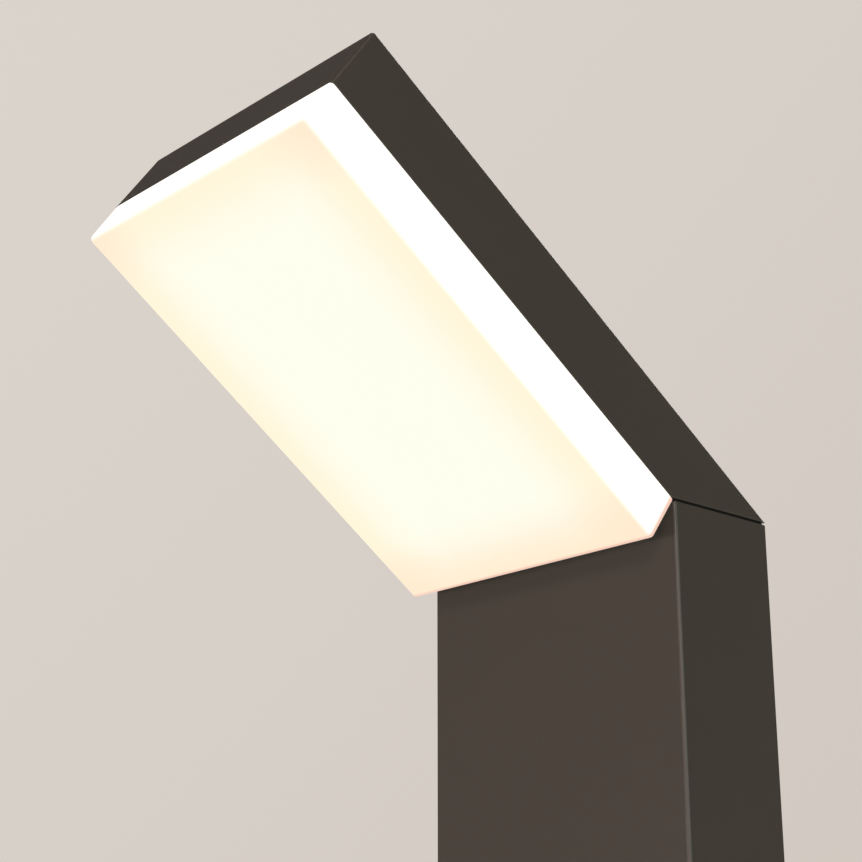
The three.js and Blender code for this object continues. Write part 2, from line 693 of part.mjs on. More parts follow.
const leadStart = TERMINAL_TOP - 6;
const leadEnd = DRIVER_BOTTOM + 4;
const LIVE_ROUTE = [
  [POLES.live, LEAD_ENTRY_Y, leadStart],
  [POLES.live, LEAD_ENTRY_Y, TERMINAL_TOP + 6],
  [-13, 7, 144],
  [-9, 4.5, 156],
  [-DRIVER_LEAD_X, DRIVER_LEAD_Y, 164],
  [-DRIVER_LEAD_X, DRIVER_LEAD_Y, leadEnd],
];
const NEUTRAL_ROUTE = [
  [POLES.neutral, LEAD_ENTRY_Y, leadStart],
  [POLES.neutral, LEAD_ENTRY_Y, TERMINAL_TOP + 6],
  [2, 7, 144],
  [7, 4.5, 156],
  [DRIVER_LEAD_X, DRIVER_LEAD_Y, 164],
  [DRIVER_LEAD_X, DRIVER_LEAD_Y, leadEnd],
];
const EARTH_ROUTE = [
  [POLES.earth, LEAD_ENTRY_Y, leadStart],
  [POLES.earth, LEAD_ENTRY_Y, TERMINAL_TOP + 5],
  [19, 7, 140],
  [27, 5, 138],
  [32, 5, 128],
  [34, 8, 112],
  [EARTH_X, LUG_AXIS_Y, 98],
  [EARTH_X, LUG_AXIS_Y, LUG_BARREL[0] + 3],
];

// A point of the head's frame, given in the post's frame.
function fromHead(y, z) {
  return [
    0,
    y * Math.cos(HEAD_TILT) + z * Math.sin(HEAD_TILT) + HEAD_FRONT,
    z * Math.cos(HEAD_TILT) - y * Math.sin(HEAD_TILT) + HEAD_SEAT,
  ];
}

// From the driver, up the post, through the neck, and over the diffuser's lip to the LED board.
const LED_CABLE_ROUTE = [
  [0, DRIVER_LEAD_Y, DRIVER_TOP - 4],
  [0, DRIVER_LEAD_Y, DRIVER_TOP + 14],
  [0, 0, DRIVER_TOP + 50],
  [0, CABLE_HOLE_Y, 470],
  [0, CABLE_HOLE_Y, 580],
  [0, CABLE_HOLE_Y, 650],
  [0, CABLE_HOLE_Y, 672],
  fromHead(11.4, 20),
  fromHead(2.4, 18.4),
  fromHead(-7, 13.2),
  fromHead(-14, 8),
  fromHead(-19, 5),
  fromHead(-24, 4.1),
  fromHead(-29.6, 4.1),
];

add(bollard, 'lead_live', lead(LIVE_ROUTE, LEAD_RADIUS, 12), WIRE_BROWN);
add(bollard, 'lead_neutral', lead(NEUTRAL_ROUTE, LEAD_RADIUS, 12), WIRE_BLUE);
add(bollard, 'lead_earth', lead(EARTH_ROUTE, LEAD_RADIUS, 20), WIRE_EARTH);
add(bollard, 'led_cable', lead(LED_CABLE_ROUTE, LED_CABLE_RADIUS, 48), CABLE_WHITE);

// ---------------------------------------------------------------- neck

const HEAD_SCREWS = mirroredPairs(HEAD_SCREW_X, HEAD_SCREW_YS);
const GASKET_INSET = 1;
const GROMMET_RADIUS = 6;
const GROMMET_FLANGE = 8.5;
const GROMMET_FLANGE_HEIGHT = 2;
const GROMMET_BORE = LED_CABLE_RADIUS + 0.4;

function neckPlug() {
  const bottom = NECK_TOP - NECK_HEIGHT;
  const topUnderside = NECK_TOP - NECK_TOP_THICKNESS;
  const outer = roundedPlate(SOCKET_WIDTH, SOCKET_DEPTH, SOCKET_CORNER, bottom, NECK_TOP);
  const x = SOCKET_WIDTH / 2 - SOCKET_WALL;
  const y = SOCKET_DEPTH / 2 - SOCKET_WALL;
  const hollow = block([-x, -y, bottom - 1], [x, y, topUnderside]);
  const screwHoles = HEAD_SCREWS.map(([sx, sy]) => (
    screwHole(M5, topUnderside - 1, NECK_TOP + 1, sx, sy)
  ));
  const cableHole = upright(GROMMET_RADIUS + GAP, topUnderside - 1, NECK_TOP + 1)
    .translate(0, CABLE_HOLE_Y, 0);
  const setHoles = [-NECK_SCREW_X, NECK_SCREW_X].map((sx) => (
    alongY(M6.shank + SCREW_CLEARANCE, y - 1, SOCKET_DEPTH / 2 + 1, sx, NECK_SCREW_Z)
  ));
  return cut(outer, hollow, ...screwHoles, cableHole, ...setHoles);
}

function neckGasket() {
  const width = POST_WIDTH - 2 * GASKET_INSET;
  const depth = POST_DEPTH - 2 * GASKET_INSET;
  const sheet = roundedPlate(width, depth, SOCKET_CORNER, POST_TOP, HEAD_SEAT - GAP);
  const screwHoles = HEAD_SCREWS.map(([x, y]) => (
    screwHole(M5, POST_TOP - 1, HEAD_SEAT + 1, x, y)
  ));
  const cableHole = upright(GROMMET_RADIUS + GAP, POST_TOP - 1, HEAD_SEAT + 1)
    .translate(0, CABLE_HOLE_Y, 0);
  return cut(sheet, ...screwHoles, cableHole);
}

// The grommet lines the neck's cable hole and has a flange below it.
function cableGrommet() {
  const flangeTop = NECK_TOP - NECK_TOP_THICKNESS - GAP;
  const bottom = flangeTop - GROMMET_FLANGE_HEIGHT;
  const barrel = GROMMET_RADIUS - 0.2;
  return turned([
    [GROMMET_BORE, bottom],
    [GROMMET_FLANGE, bottom],
    [GROMMET_FLANGE, flangeTop],
    [barrel, flangeTop],
    [barrel, NECK_TOP],
    [GROMMET_BORE, NECK_TOP],
    [GROMMET_BORE, bottom],
  ]);
}

add(bollard, 'neck_plug', neckPlug(), CAST_ALUMINIUM);
add(bollard, 'neck_gasket', neckGasket(), RUBBER);
add(bollard, 'cable_grommet', cableGrommet(), RUBBER, [0, CABLE_HOLE_Y, 0]);
for (const [side, x] of [['left', -NECK_SCREW_X], ['right', NECK_SCREW_X]]) {
  add(bollard, `neck_set_screw_${side}`, grubScrew(M6, GRUB_LENGTH), STAINLESS,
    [x, POST_DEPTH / 2 - GAP, NECK_SCREW_Z], FACE_BACK);
}
HEAD_SCREWS.forEach(([x, y], i) => {
  const seat = HEAD_SEAT + HEAD_FLOOR + GAP;
  add(bollard, `head_screw_${i + 1}`, panScrew(M5, 14), STAINLESS, [x, y, seat]);
});

// ---------------------------------------------------------------- head shell

const INNER_HALF_WIDTH = POST_WIDTH / 2 - HEAD_WALL;
const ROOF = HEAD_THICKNESS - HEAD_WALL;
const FRONT_WALL_INSIDE = HEAD_WALL - HEAD_LENGTH;
const SPREADER_UNDERSIDE = BOARD_UNDERSIDE + BOARD_THICKNESS + GAP;
const SPREADER_TOP = SPREADER_UNDERSIDE + SPREADER_THICKNESS;
const SPREADER_SCREWS = mirroredPairs(SPREADER_SCREW_X, SPREADER_SCREW_YS);
const BOSS_RADIUS = 4.2;
const BOSS_HOLE_DEPTH = 9;

// The y of the level floor's upper side at a height z above the shell's rim.
function floorInside(z) {
  const slope = Math.tan(HEAD_TILT);
  return (z - HEAD_FLOOR / Math.cos(HEAD_TILT)) / slope;
}

function headShell() {
  const outer = sideProfile([
    [0, 0],
    [SEAT_DEPTH * Math.cos(HEAD_TILT), HEAD_THICKNESS],
    [-HEAD_LENGTH, HEAD_THICKNESS],
    [-HEAD_LENGTH, 0],
  ], POST_WIDTH);
  const cavity = sideProfile([
    [floorInside(-1), -1],
    [floorInside(ROOF), ROOF],
    [FRONT_WALL_INSIDE, ROOF],
    [FRONT_WALL_INSIDE, -1],
  ], 2 * INNER_HALF_WIDTH);
  const bosses = SPREADER_SCREWS.map(([x, y]) => (
    upright(BOSS_RADIUS, SPREADER_TOP + GAP, ROOF + 1).translate(x, y, 0)
  ));
  const bossHoles = SPREADER_SCREWS.map(([x, y]) => (
    screwHole(M3, SPREADER_TOP, SPREADER_TOP + BOSS_HOLE_DEPTH, x, y)
  ));
  // The floor's holes are upright, so they are turned from the post's frame into the head's.
  const upFromPost = (geometry) => (
    geometry.translate(0, -HEAD_FRONT, 0).rotateX(HEAD_TILT)
  );
  const floorHoles = HEAD_SCREWS.map(([x, y]) => (
    upFromPost(screwHole(M5, -1, HEAD_FLOOR + 1, x, y))
  ));
  const cableHole = upFromPost(
    upright(GROMMET_RADIUS, -1, HEAD_FLOOR + 1).translate(0, CABLE_HOLE_Y, 0),
  );
  const hollow = cut(outer, cavity);
  return cut(join(hollow, ...bosses), ...bossHoles, ...floorHoles, cableHole);
}

add(head, 'head_shell', headShell(), POWDER_COAT);

// ---------------------------------------------------------------- light engine

const CHIP_COLUMNS = 4;
const CHIP_ROWS = 4;
const CHIP_PITCH_X = 21;
const CHIP_SIZE = 3.5;
const CHIP_HEIGHT = 0.9;
const CHIP_ROOT = 0.5;
const CONNECTOR_SPAN = [-38, -30];
const CONNECTOR_HALF_WIDTH = 5;
const CONNECTOR_BOTTOM = 2.4;

function midpoint([low, high]) {
  return (low + high) / 2;
}

function ledBoard(span) {
  const top = BOARD_UNDERSIDE + BOARD_THICKNESS;
  const plate = block([-BOARD_HALF_WIDTH, span[0], BOARD_UNDERSIDE], [BOARD_HALF_WIDTH, span[1], top]);
  const pitch = (span[1] - span[0]) / CHIP_ROWS;
  const chips = [];
  for (let row = 0; row < CHIP_ROWS; row += 1) {
    for (let column = 0; column < CHIP_COLUMNS; column += 1) {
      const x = (column - (CHIP_COLUMNS - 1) / 2) * CHIP_PITCH_X;
      const y = span[0] + (row + 0.5) * pitch;
      const half = CHIP_SIZE / 2;
      chips.push(block(
        [x - half, y - half, BOARD_UNDERSIDE - CHIP_HEIGHT],
        [x + half, y + half, BOARD_UNDERSIDE + CHIP_ROOT],
      ));
    }
  }
  const holes = [-BOARD_SCREW_X, BOARD_SCREW_X].map((x) => (
    screwHole(M3, BOARD_UNDERSIDE - 1, top + 1, x, midpoint(span))
  ));
  return cut(join(plate, ...chips), ...holes);
}

function heatSpreader() {
  const w = SPREADER_HALF_WIDTH;
  const plate = block(
    [-w, SPREADER_SPAN[0], SPREADER_UNDERSIDE],
    [w, SPREADER_SPAN[1], SPREADER_TOP],
  );
  const boardHoles = Object.values(BOARD_SPANS).flatMap((span) => (
    [-BOARD_SCREW_X, BOARD_SCREW_X].map((x) => [x, midpoint(span)])
  ));
  const holes = [...SPREADER_SCREWS, ...boardHoles].map(([x, y]) => (
    screwHole(M3, SPREADER_UNDERSIDE - 1, SPREADER_TOP + 1, x, y)
  ));
  return cut(plate, ...holes);
}

add(head, 'heat_spreader', heatSpreader(), CAST_ALUMINIUM);
SPREADER_SCREWS.forEach(([x, y], i) => {
  add(head, `spreader_screw_${i + 1}`, panScrew(M3, 10), STAINLESS,
    [x, y, SPREADER_UNDERSIDE - GAP], FACE_DOWN);
});
for (const [place, span] of Object.entries(BOARD_SPANS)) {
  add(head, `led_board_${place}`, ledBoard(span), WHITE_PLASTIC);
}
mirroredPairs(BOARD_SCREW_X, Object.values(BOARD_SPANS).map(midpoint)).forEach(([x, y], i) => {
  add(head, `board_screw_${i + 1}`, panScrew(M3, 6), STAINLESS,
    [x, y, BOARD_UNDERSIDE - GAP], FACE_DOWN);
});
const connector = block(
  [-CONNECTOR_HALF_WIDTH, CONNECTOR_SPAN[0], CONNECTOR_BOTTOM],
  [CONNECTOR_HALF_WIDTH, CONNECTOR_SPAN[1], BOARD_UNDERSIDE - GAP],
);
add(head, 'led_connector', connector, WHITE_PLASTIC);

// ---------------------------------------------------------------- reflector and diffuser

const LIP = {
  x: POST_WIDTH / 2 - LIP_SIDE_INSET,
  y: [LIP_UPPER_INSET - HEAD_LENGTH, -LIP_LOWER_INSET],
};
const REFLECTOR_WALL = 0.8;
const REFLECTOR_BOTTOM = 0.5;
const REFLECTOR_TOP = 5.5;
const REFLECTOR_SPLAY = 5;
const REFLECTOR_INSET = 1.6;
const NOTCH_HALF_WIDTH = 5;
const NOTCH_LENGTH = 12;
const GASKET_BAND = [0.6, 3];
const GASKET_WIDTH = 1.2;
const CLIP_SHEET = 0.6;
const CLIP_LENGTH = 24;
const CLIP_BOTTOM = 1.2;

function shrink({ x, y }, inset, z) {
  return { x: x - inset, y: [y[0] + inset, y[1] - inset], z };
}

// A white frame that slopes from the boards out to the diffuser's lip, notched for the cable.
function reflectorFrame() {
  const outside = LIP_WALL + REFLECTOR_INSET;
  const low = shrink(LIP, outside, REFLECTOR_BOTTOM);
  const high = shrink(LIP, outside, REFLECTOR_TOP);
  const mouth = shrink(LIP, outside + REFLECTOR_WALL, REFLECTOR_BOTTOM - 1);
  const throat = shrink(LIP, outside + REFLECTOR_SPLAY, REFLECTOR_TOP + 1);
  const notch = block(
    [-NOTCH_HALF_WIDTH, LIP.y[1] - NOTCH_LENGTH, REFLECTOR_BOTTOM + 1],
    [NOTCH_HALF_WIDTH, LIP.y[1], REFLECTOR_TOP + 1],
  );
  return cut(taperedBlock(low, high), taperedBlock(mouth, throat), notch);
}

// An open box with a stepped rim: its wide part hangs below the shell, its lip goes inside.
function diffuser() {
  const side = POST_WIDTH / 2 - 0.1;
  const rim = { x: side, y: [0.1 - HEAD_LENGTH, DIFFUSER_FOOT], z: -GAP };
  const face = shrink(rim, DIFFUSER_DRAFT, -DIFFUSER_DEPTH);
  const shelf = -GAP - DIFFUSER_WALL;
  const lip = taperedBlock({ ...LIP, z: shelf }, { ...LIP, z: LIP_HEIGHT });
  const hollow = taperedBlock(
    shrink(face, DIFFUSER_WALL, DIFFUSER_WALL - DIFFUSER_DEPTH),
    shrink(rim, DIFFUSER_WALL, shelf),
  );
  const mouth = taperedBlock(
    shrink(LIP, LIP_WALL, shelf - 1),
    shrink(LIP, LIP_WALL, LIP_HEIGHT + 1),
  );
  return cut(join(taperedBlock(face, rim), lip), hollow, mouth);
}

// The gasket lies round the lip, just above the shell's rim.
function diffuserGasket() {
  const [bottom, top] = GASKET_BAND;
  const band = taperedBlock(shrink(LIP, -GASKET_WIDTH, bottom), shrink(LIP, -GASKET_WIDTH, top));
  return cut(band, taperedBlock(shrink(LIP, -GAP, bottom - 1), shrink(LIP, -GAP, top + 1)));
}

// A spring clip: a channel that sits over the lip and grips the shell's side.
function diffuserClip() {
  const outside = LIP.x + GAP;
  const inside = LIP.x - LIP_WALL - GAP;
  const top = LIP_HEIGHT + GAP + CLIP_SHEET;
  const body = block(
    [inside - CLIP_SHEET, -CLIP_LENGTH / 2, CLIP_BOTTOM],
    [outside + CLIP_SHEET, CLIP_LENGTH / 2, top],
  );
  const slot = block([inside, -CLIP_LENGTH, 0], [outside, CLIP_LENGTH, LIP_HEIGHT + GAP]);
  const clearGasket = block(
    [LIP.x - 1, -CLIP_LENGTH, 0],
    [outside + CLIP_SHEET + 1, CLIP_LENGTH, GASKET_BAND[1] + GAP],
  );
  return cut(body, slot, clearGasket);
}

add(head, 'reflector_frame', reflectorFrame(), WHITE_PLASTIC);
add(head, 'diffuser', diffuser(), OPAL);
add(head, 'diffuser_gasket', diffuserGasket(), RUBBER);
const clipY = midpoint(LIP.y);
add(head, 'diffuser_clip_right', diffuserClip(), STAINLESS, [0, clipY, 0]);
add(head, 'diffuser_clip_left', diffuserClip(), STAINLESS, [0, clipY, 0], [0, 0, Math.PI]);

export default bollard;
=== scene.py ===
"""The looks of a bollard light: a flat post with a leaning head and an opal light box.

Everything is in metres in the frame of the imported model: +Z is up, the origin is the centre of
the base plate's underside, and the head leans out towards -Y. Pieces of the head are built in
the head's own frame, whose origin is the middle of the shell's lower front edge: there +Y runs
back and down along the head, and +Z is square to its underside.
"""
import json
import math

import bmesh
import bpy
from mathutils import Matrix, Vector


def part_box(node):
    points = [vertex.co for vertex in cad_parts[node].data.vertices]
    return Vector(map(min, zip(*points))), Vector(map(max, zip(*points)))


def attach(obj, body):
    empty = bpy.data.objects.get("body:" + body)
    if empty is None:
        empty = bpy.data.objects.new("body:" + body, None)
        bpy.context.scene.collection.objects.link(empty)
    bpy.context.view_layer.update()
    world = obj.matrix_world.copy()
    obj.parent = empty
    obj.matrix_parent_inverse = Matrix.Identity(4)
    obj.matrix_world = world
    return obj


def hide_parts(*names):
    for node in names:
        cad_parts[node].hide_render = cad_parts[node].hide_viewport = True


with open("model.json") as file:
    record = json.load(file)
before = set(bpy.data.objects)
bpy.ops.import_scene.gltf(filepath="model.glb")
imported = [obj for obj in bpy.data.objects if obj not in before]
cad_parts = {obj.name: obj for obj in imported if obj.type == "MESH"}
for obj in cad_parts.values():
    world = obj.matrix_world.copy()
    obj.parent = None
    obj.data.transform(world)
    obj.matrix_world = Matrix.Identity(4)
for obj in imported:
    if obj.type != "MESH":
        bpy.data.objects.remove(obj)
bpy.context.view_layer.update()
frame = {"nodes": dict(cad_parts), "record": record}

BODY = "bollard"
MM = 0.001

# ------------------------------------------------------------------ sizes

post_low, post_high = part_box("post_tube")
POST_WIDTH = post_high.x - post_low.x
POST_DEPTH = post_high.y - post_low.y
POST_WALL = 3 * MM
POST_CORNER = 1.4 * MM
POST_LIP = 0.4 * MM

shell_low, shell_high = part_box("head_shell")
HEAD_TILT = math.radians(34.7)
HEAD_NOSE = 1.7 * MM
HEAD_SEAT = shell_low.z
HEAD_FRONT = post_low.y - HEAD_NOSE
SEAT_DEPTH = POST_DEPTH + HEAD_NOSE
HEAD_THICKNESS = SEAT_DEPTH * math.sin(HEAD_TILT)
HEAD_RISE = shell_high.z - HEAD_SEAT
HEAD_LENGTH = (HEAD_RISE - HEAD_THICKNESS * math.cos(HEAD_TILT)) / math.sin(HEAD_TILT)
HEAD_WALL = 2.8 * MM
HEAD_FLOOR = 4 * MM
HEAD_EDGE = 1.3 * MM
HEAD_SEAT_EDGE = 0.3 * MM
HEAD_RIM_EDGE = 0.3 * MM

JOINT_HEIGHT = (post_high.z + HEAD_SEAT) / 2

# Radii of the clearance holes for the screws.
M3_HOLE = 1.85 * MM
M5_HOLE = 2.85 * MM
M6_HOLE = 3.35 * MM

# Turns the head's frame into the model's.
HEAD_TO_ROW = Matrix.Translation((0, HEAD_FRONT, HEAD_SEAT)) @ Matrix.Rotation(-HEAD_TILT, 4, "X")
ROW_TO_HEAD = HEAD_TO_ROW.inverted()


def box_in(node, to_frame):
    """A node's lowest and highest corners in the frame that a matrix leads to."""
    points = [to_frame @ v.co for v in frame["nodes"][node].data.vertices]
    low = Vector([min(p[i] for p in points) for i in range(3)])
    high = Vector([max(p[i] for p in points) for i in range(3)])
    return low, high


def box_in_head(node):
    return box_in(node, ROW_TO_HEAD)


def middle_of(corners):
    """The x and y of the middle of a box, which is given by its two corners."""
    low, high = corners
    return (low.x + high.x) / 2, (low.y + high.y) / 2


# ------------------------------------------------------------------ camera

# The camera looks up at the head from its front right. Its place is counted in post widths
# from the middle of the joint.
CAMERA_OFFSET = Vector((3.7346, -3.9984, -1.404))
CAMERA_YAW = math.radians(48.284)
CAMERA_PITCH = math.radians(17.991)
CAMERA_ROLL = math.radians(-0.037)
CAMERA_LENS = 76.707
SENSOR_WIDTH = 36.0


def add_camera():
    data = bpy.data.cameras.new("camera")
    data.lens = CAMERA_LENS
    data.sensor_width = SENSOR_WIDTH
    data.clip_start = 0.01
    camera = bpy.data.objects.new("camera", data)
    bpy.context.scene.collection.objects.link(camera)
    place = Vector((0, 0, JOINT_HEIGHT)) + CAMERA_OFFSET * POST_WIDTH
    turn = (
        Matrix.Rotation(CAMERA_YAW, 4, "Z")
        @ Matrix.Rotation(math.pi / 2 + CAMERA_PITCH, 4, "X")
        @ Matrix.Rotation(CAMERA_ROLL, 4, "Z")
    )
    camera.matrix_world = Matrix.Translation(place) @ turn
    bpy.context.scene.camera = camera


# ------------------------------------------------------------------ material helpers


class Shader:
    """A material with one Principled shader, whose nodes are made by short calls."""

    def __init__(self, name, **settings):
        self.material = bpy.data.materials.new(name)
        self.material.use_nodes = True
        self.tree = self.material.node_tree
        self.tree.nodes.clear()
        output = self.tree.nodes.new("ShaderNodeOutputMaterial")
        self.surface = self.node("ShaderNodeBsdfPrincipled", **settings)
        self.link(self.surface.outputs["BSDF"], output.inputs["Surface"])

    def node(self, kind, setup=None, **inputs):
        made = self.tree.nodes.new(kind)
        for key, value in (setup or {}).items():
            setattr(made, key, value)
        for key, value in inputs.items():
            self.feed(made, key.replace("_", " "), value)
        return made

    def feed(self, node, socket, value):
        """Sets an input of a node, given by its name or its number, or links to it."""
        target = node.inputs[socket]
        if isinstance(value, bpy.types.NodeSocket):
            self.link(value, target)
        else:
            target.default_value = value

    def link(self, source, target):
        self.tree.links.new(source, target)

    def position(self):
        return self.node("ShaderNodeTexCoord").outputs["Object"]

    def head_position(self):
        """The position in the head's frame, in metres."""
        shift = ROW_TO_HEAD.to_translation()
        turn = self.node(
            "ShaderNodeMapping",
            {"vector_type": "POINT"},
            Vector=self.position(),
            Location=shift,
            Rotation=(HEAD_TILT, 0, 0),
        )
        return turn.outputs["Vector"]

    def noise(self, scale, detail=2.0, roughness=0.5, vector=None):
        made = self.node(
            "ShaderNodeTexNoise",
            Vector=vector or self.position(),
            Scale=scale,
            Detail=detail,
            Roughness=roughness,
        )
        return made.outputs["Fac"]

    def math(self, operation, first, second=0.0):
        made = self.node("ShaderNodeMath", {"operation": operation})
        self.feed(made, 0, first)
        self.feed(made, 1, second)
        return made.outputs[0]

    def towards(self, direction):
        """How far the surface faces a direction: 1 is straight at it, and 0 is square to it."""
        normal = self.node("ShaderNodeTexCoord").outputs["Normal"]
        made = self.node("ShaderNodeVectorMath", {"operation": "DOT_PRODUCT"})
        self.link(normal, made.inputs[0])
        made.inputs[1].default_value = direction
        return made.outputs["Value"]

    def span(self, value, low, high, to_low=0.0, to_high=1.0, smooth=False):
        """Maps value from low..high to to_low..to_high, and clamps it."""
        kind = {"interpolation_type": "SMOOTHSTEP" if smooth else "LINEAR", "clamp": True}
        made = self.node("ShaderNodeMapRange", kind)
        made.inputs["From Min"].default_value = low
        made.inputs["From Max"].default_value = high
        made.inputs["To Min"].default_value = to_low
        made.inputs["To Max"].default_value = to_high
        self.link(value, made.inputs["Value"])
        return made.outputs["Result"]

    def mix(self, factor, first, second):
        made = self.node("ShaderNodeMix", {"data_type": "RGBA"})
        self.feed(made, 0, factor)
        for index, value in ((6, first), (7, second)):
            if not isinstance(value, bpy.types.NodeSocket):
                value = (*value, 1.0)
            self.feed(made, index, value)
        return made.outputs[2]

    def bump(self, height, strength, distance):
        made = self.node(
            "ShaderNodeBump", Height=height, Strength=strength, Distance=distance
        )
        self.link(made.outputs["Normal"], self.surface.inputs["Normal"])

    def colour(self, value):
        self.link(value, self.surface.inputs["Base Color"])

    def roughness(self, value):
        self.link(value, self.surface.inputs["Roughness"])


def scaled(colour, factor):
    return tuple(channel * factor for channel in colour)


# ------------------------------------------------------------------ materials

COAT_COLOUR = (0.0605, 0.055, 0.0435)


def powder_coat(name, colour):
    """Satin powder coat: an even colour with a very fine orange peel."""
    shader = Shader(name)
    shader.colour(shader.mix(
        shader.span(shader.noise(18.0, 4.0), 0.3, 0.7), scaled(colour, 0.97), scaled(colour, 1.03)
    ))
    shader.roughness(shader.span(shader.noise(900.0, 3.0), 0.3, 0.7, 0.34, 0.41))
    shader.bump(shader.noise(2200.0, 3.0, 0.6), 0.10, 0.00008)
    return shader.material


# Colours of the lit diffuser, as seen.
FACE_CENTRE = (0.930, 0.942, 0.815)
FACE_RIM = (0.955, 0.865, 0.655)
FACE_LOWER_END = (0.955, 0.800, 0.600)
FACE_CORNER = (0.965, 0.780, 0.590)
END_PINK = (0.880, 0.580, 0.460)
# A painted reflection: the lighter line on the outermost rounding of the lower end stands for the room
# reflected at a grazing angle, not for glow.
END_PAINTED_REFLECTION = (0.960, 0.860, 0.780)
SIDE_WHITE = (1.250, 1.200, 1.120)
OPAL_SHADES = ((0.04, 0.038, 0.034), (0.05, 0.047, 0.042))

# How far the face's colours fade in from its edges, and the strip along its lower end.
SIDE_FADE = 34 * MM
UPPER_FADE = 32 * MM
LOWER_FADE = 34 * MM
END_STRIP = 3.2 * MM


def opal_diffuser():
    """Opal acrylic, lit from inside: its face glows evenly, and its sides blow out to white."""
    shader = Shader("opal_diffuser", Roughness=0.35)
    place = shader.node("ShaderNodeSeparateXYZ", Vector=shader.head_position())
    low, high = box_in_head("diffuser")
    from_middle = shader.math("ABSOLUTE", place.outputs["X"])
    near_side = shader.span(from_middle, high.x - SIDE_FADE, high.x, smooth=True)
    near_upper = shader.span(place.outputs["Y"], low.y + UPPER_FADE, low.y, smooth=True)
    near_lower = shader.span(place.outputs["Y"], high.y - LOWER_FADE, high.y, smooth=True)
    rim = shader.math("MAXIMUM", near_side, near_upper)
    near_end = shader.math("MAXIMUM", near_upper, near_lower)
    face = shader.mix(rim, FACE_CENTRE, FACE_RIM)
    face = shader.mix(near_lower, face, FACE_LOWER_END)
    face = shader.mix(shader.math("MULTIPLY", near_side, near_end), face, FACE_CORNER)
    down = HEAD_TO_ROW.to_3x3() @ Vector((0, 0, -1))
    lower_end = HEAD_TO_ROW.to_3x3() @ Vector((0, 1, 0))
    on_side = shader.span(shader.towards(down), 1.0, 0.35, smooth=True)
    turned_down = shader.span(shader.towards(lower_end), 0.04, 0.30, smooth=True)
    last_strip = shader.span(
        place.outputs["Y"], high.y - END_STRIP, high.y - END_STRIP / 2, smooth=True
    )
    on_end = shader.math("MAXIMUM", turned_down, last_strip)
    # Painted reflection: where the surface faces most squarely towards the lower end, the glow turns to
    # a lighter line that stands for the room reflected there.
    on_painted_reflection = shader.span(shader.towards(lower_end), 0.66, 0.78, smooth=True)
    glow = shader.mix(on_side, face, SIDE_WHITE)
    glow = shader.mix(on_end, glow, END_PINK)
    glow = shader.mix(on_painted_reflection, glow, END_PAINTED_REFLECTION)
    shader.link(glow, shader.surface.inputs["Emission Color"])
    shader.surface.inputs["Emission Strength"].default_value = 1.0
    shader.surface.inputs["Specular IOR Level"].default_value = 0.25
    shader.colour(shader.mix(shader.noise(30.0), *OPAL_SHADES))
    return shader.material


def cast_metal(name, colour):
    """Sand-cast metal: dull, with a coarse skin."""
    shader = Shader(name, Metallic=1.0)
    patches = shader.span(shader.noise(35.0, 5.0), 0.3, 0.7)
    shader.colour(shader.mix(patches, scaled(colour, 0.88), scaled(colour, 1.06)))
    shader.roughness(shader.span(shader.noise(260.0, 4.0), 0.3, 0.7, 0.48, 0.66))
    shader.bump(shader.noise(850.0, 5.0, 0.6), 0.35, 0.0002)
    return shader.material


def drawn_metal(name, colour, low_roughness, high_roughness, grain=(40.0, 40.0, 900.0)):
    """Rolled or turned metal with a fine grain; grain is the noise's scale along each axis."""
    shader = Shader(name, Metallic=1.0)
    stretched = shader.node(
        "ShaderNodeMapping", {"vector_type": "POINT"}, Vector=shader.position(), Scale=grain
    ).outputs["Vector"]
    lines = shader.noise(1.0, 4.0, 0.6, stretched)
    shader.colour(shader.mix(
        shader.span(lines, 0.3, 0.7), scaled(colour, 0.93), scaled(colour, 1.04)
    ))
    shader.roughness(shader.span(lines, 0.3, 0.7, low_roughness, high_roughness))
    shader.bump(lines, 0.12, 0.00006)
    return shader.material


def galvanised_steel():
    """Zinc coat with its flakes of lighter and darker grey."""
    shader = Shader("galvanised_steel", Metallic=1.0)
    flakes = shader.node("ShaderNodeTexVoronoi", Vector=shader.position(), Scale=170.0)
    tone = shader.node("ShaderNodeSeparateColor", Color=flakes.outputs["Color"])
    shade = tone.outputs["Red"]
    shader.colour(shader.mix(shade, (0.46, 0.47, 0.48), (0.60, 0.61, 0.62)))
    shader.roughness(shader.span(shade, 0.0, 1.0, 0.34, 0.52))
    shader.bump(shader.noise(700.0, 3.0), 0.10, 0.0001)
    return shader.material


def moulded_plastic(name, colour, roughness, grain=1400.0):
    """Moulded plastic with a fine spark-eroded skin."""
    shader = Shader(name)
    clouds = shader.span(shader.noise(45.0, 3.0), 0.3, 0.7)
    shader.colour(shader.mix(clouds, scaled(colour, 0.95), scaled(colour, 1.04)))
    shader.roughness(shader.span(
        shader.noise(grain / 3, 3.0), 0.3, 0.7, roughness - 0.05, roughness + 0.06
    ))
    shader.bump(shader.noise(grain, 3.0, 0.6), 0.15, 0.00005)
    return shader.material


def soft_rubber():
    """Moulded rubber: nearly black, dull, and a little dusty."""
    shader = Shader("soft_rubber", Specular_IOR_Level=0.25)
    dust = shader.span(shader.noise(140.0, 5.0, 0.65), 0.35, 0.75)
    shader.colour(shader.mix(dust, (0.005, 0.005, 0.005), (0.012, 0.011, 0.010)))
    shader.roughness(shader.span(dust, 0.0, 1.0, 0.70, 0.86))
    shader.bump(shader.noise(1100.0, 4.0), 0.2, 0.0001)
    return shader.material


BOARD_UNDERSIDE = 6.4 * MM
CHIP_FADE = 0.1 * MM
CHIP_COLOUR = (0.86, 0.60, 0.12)
MASK_COLOUR = (0.80, 0.80, 0.77)


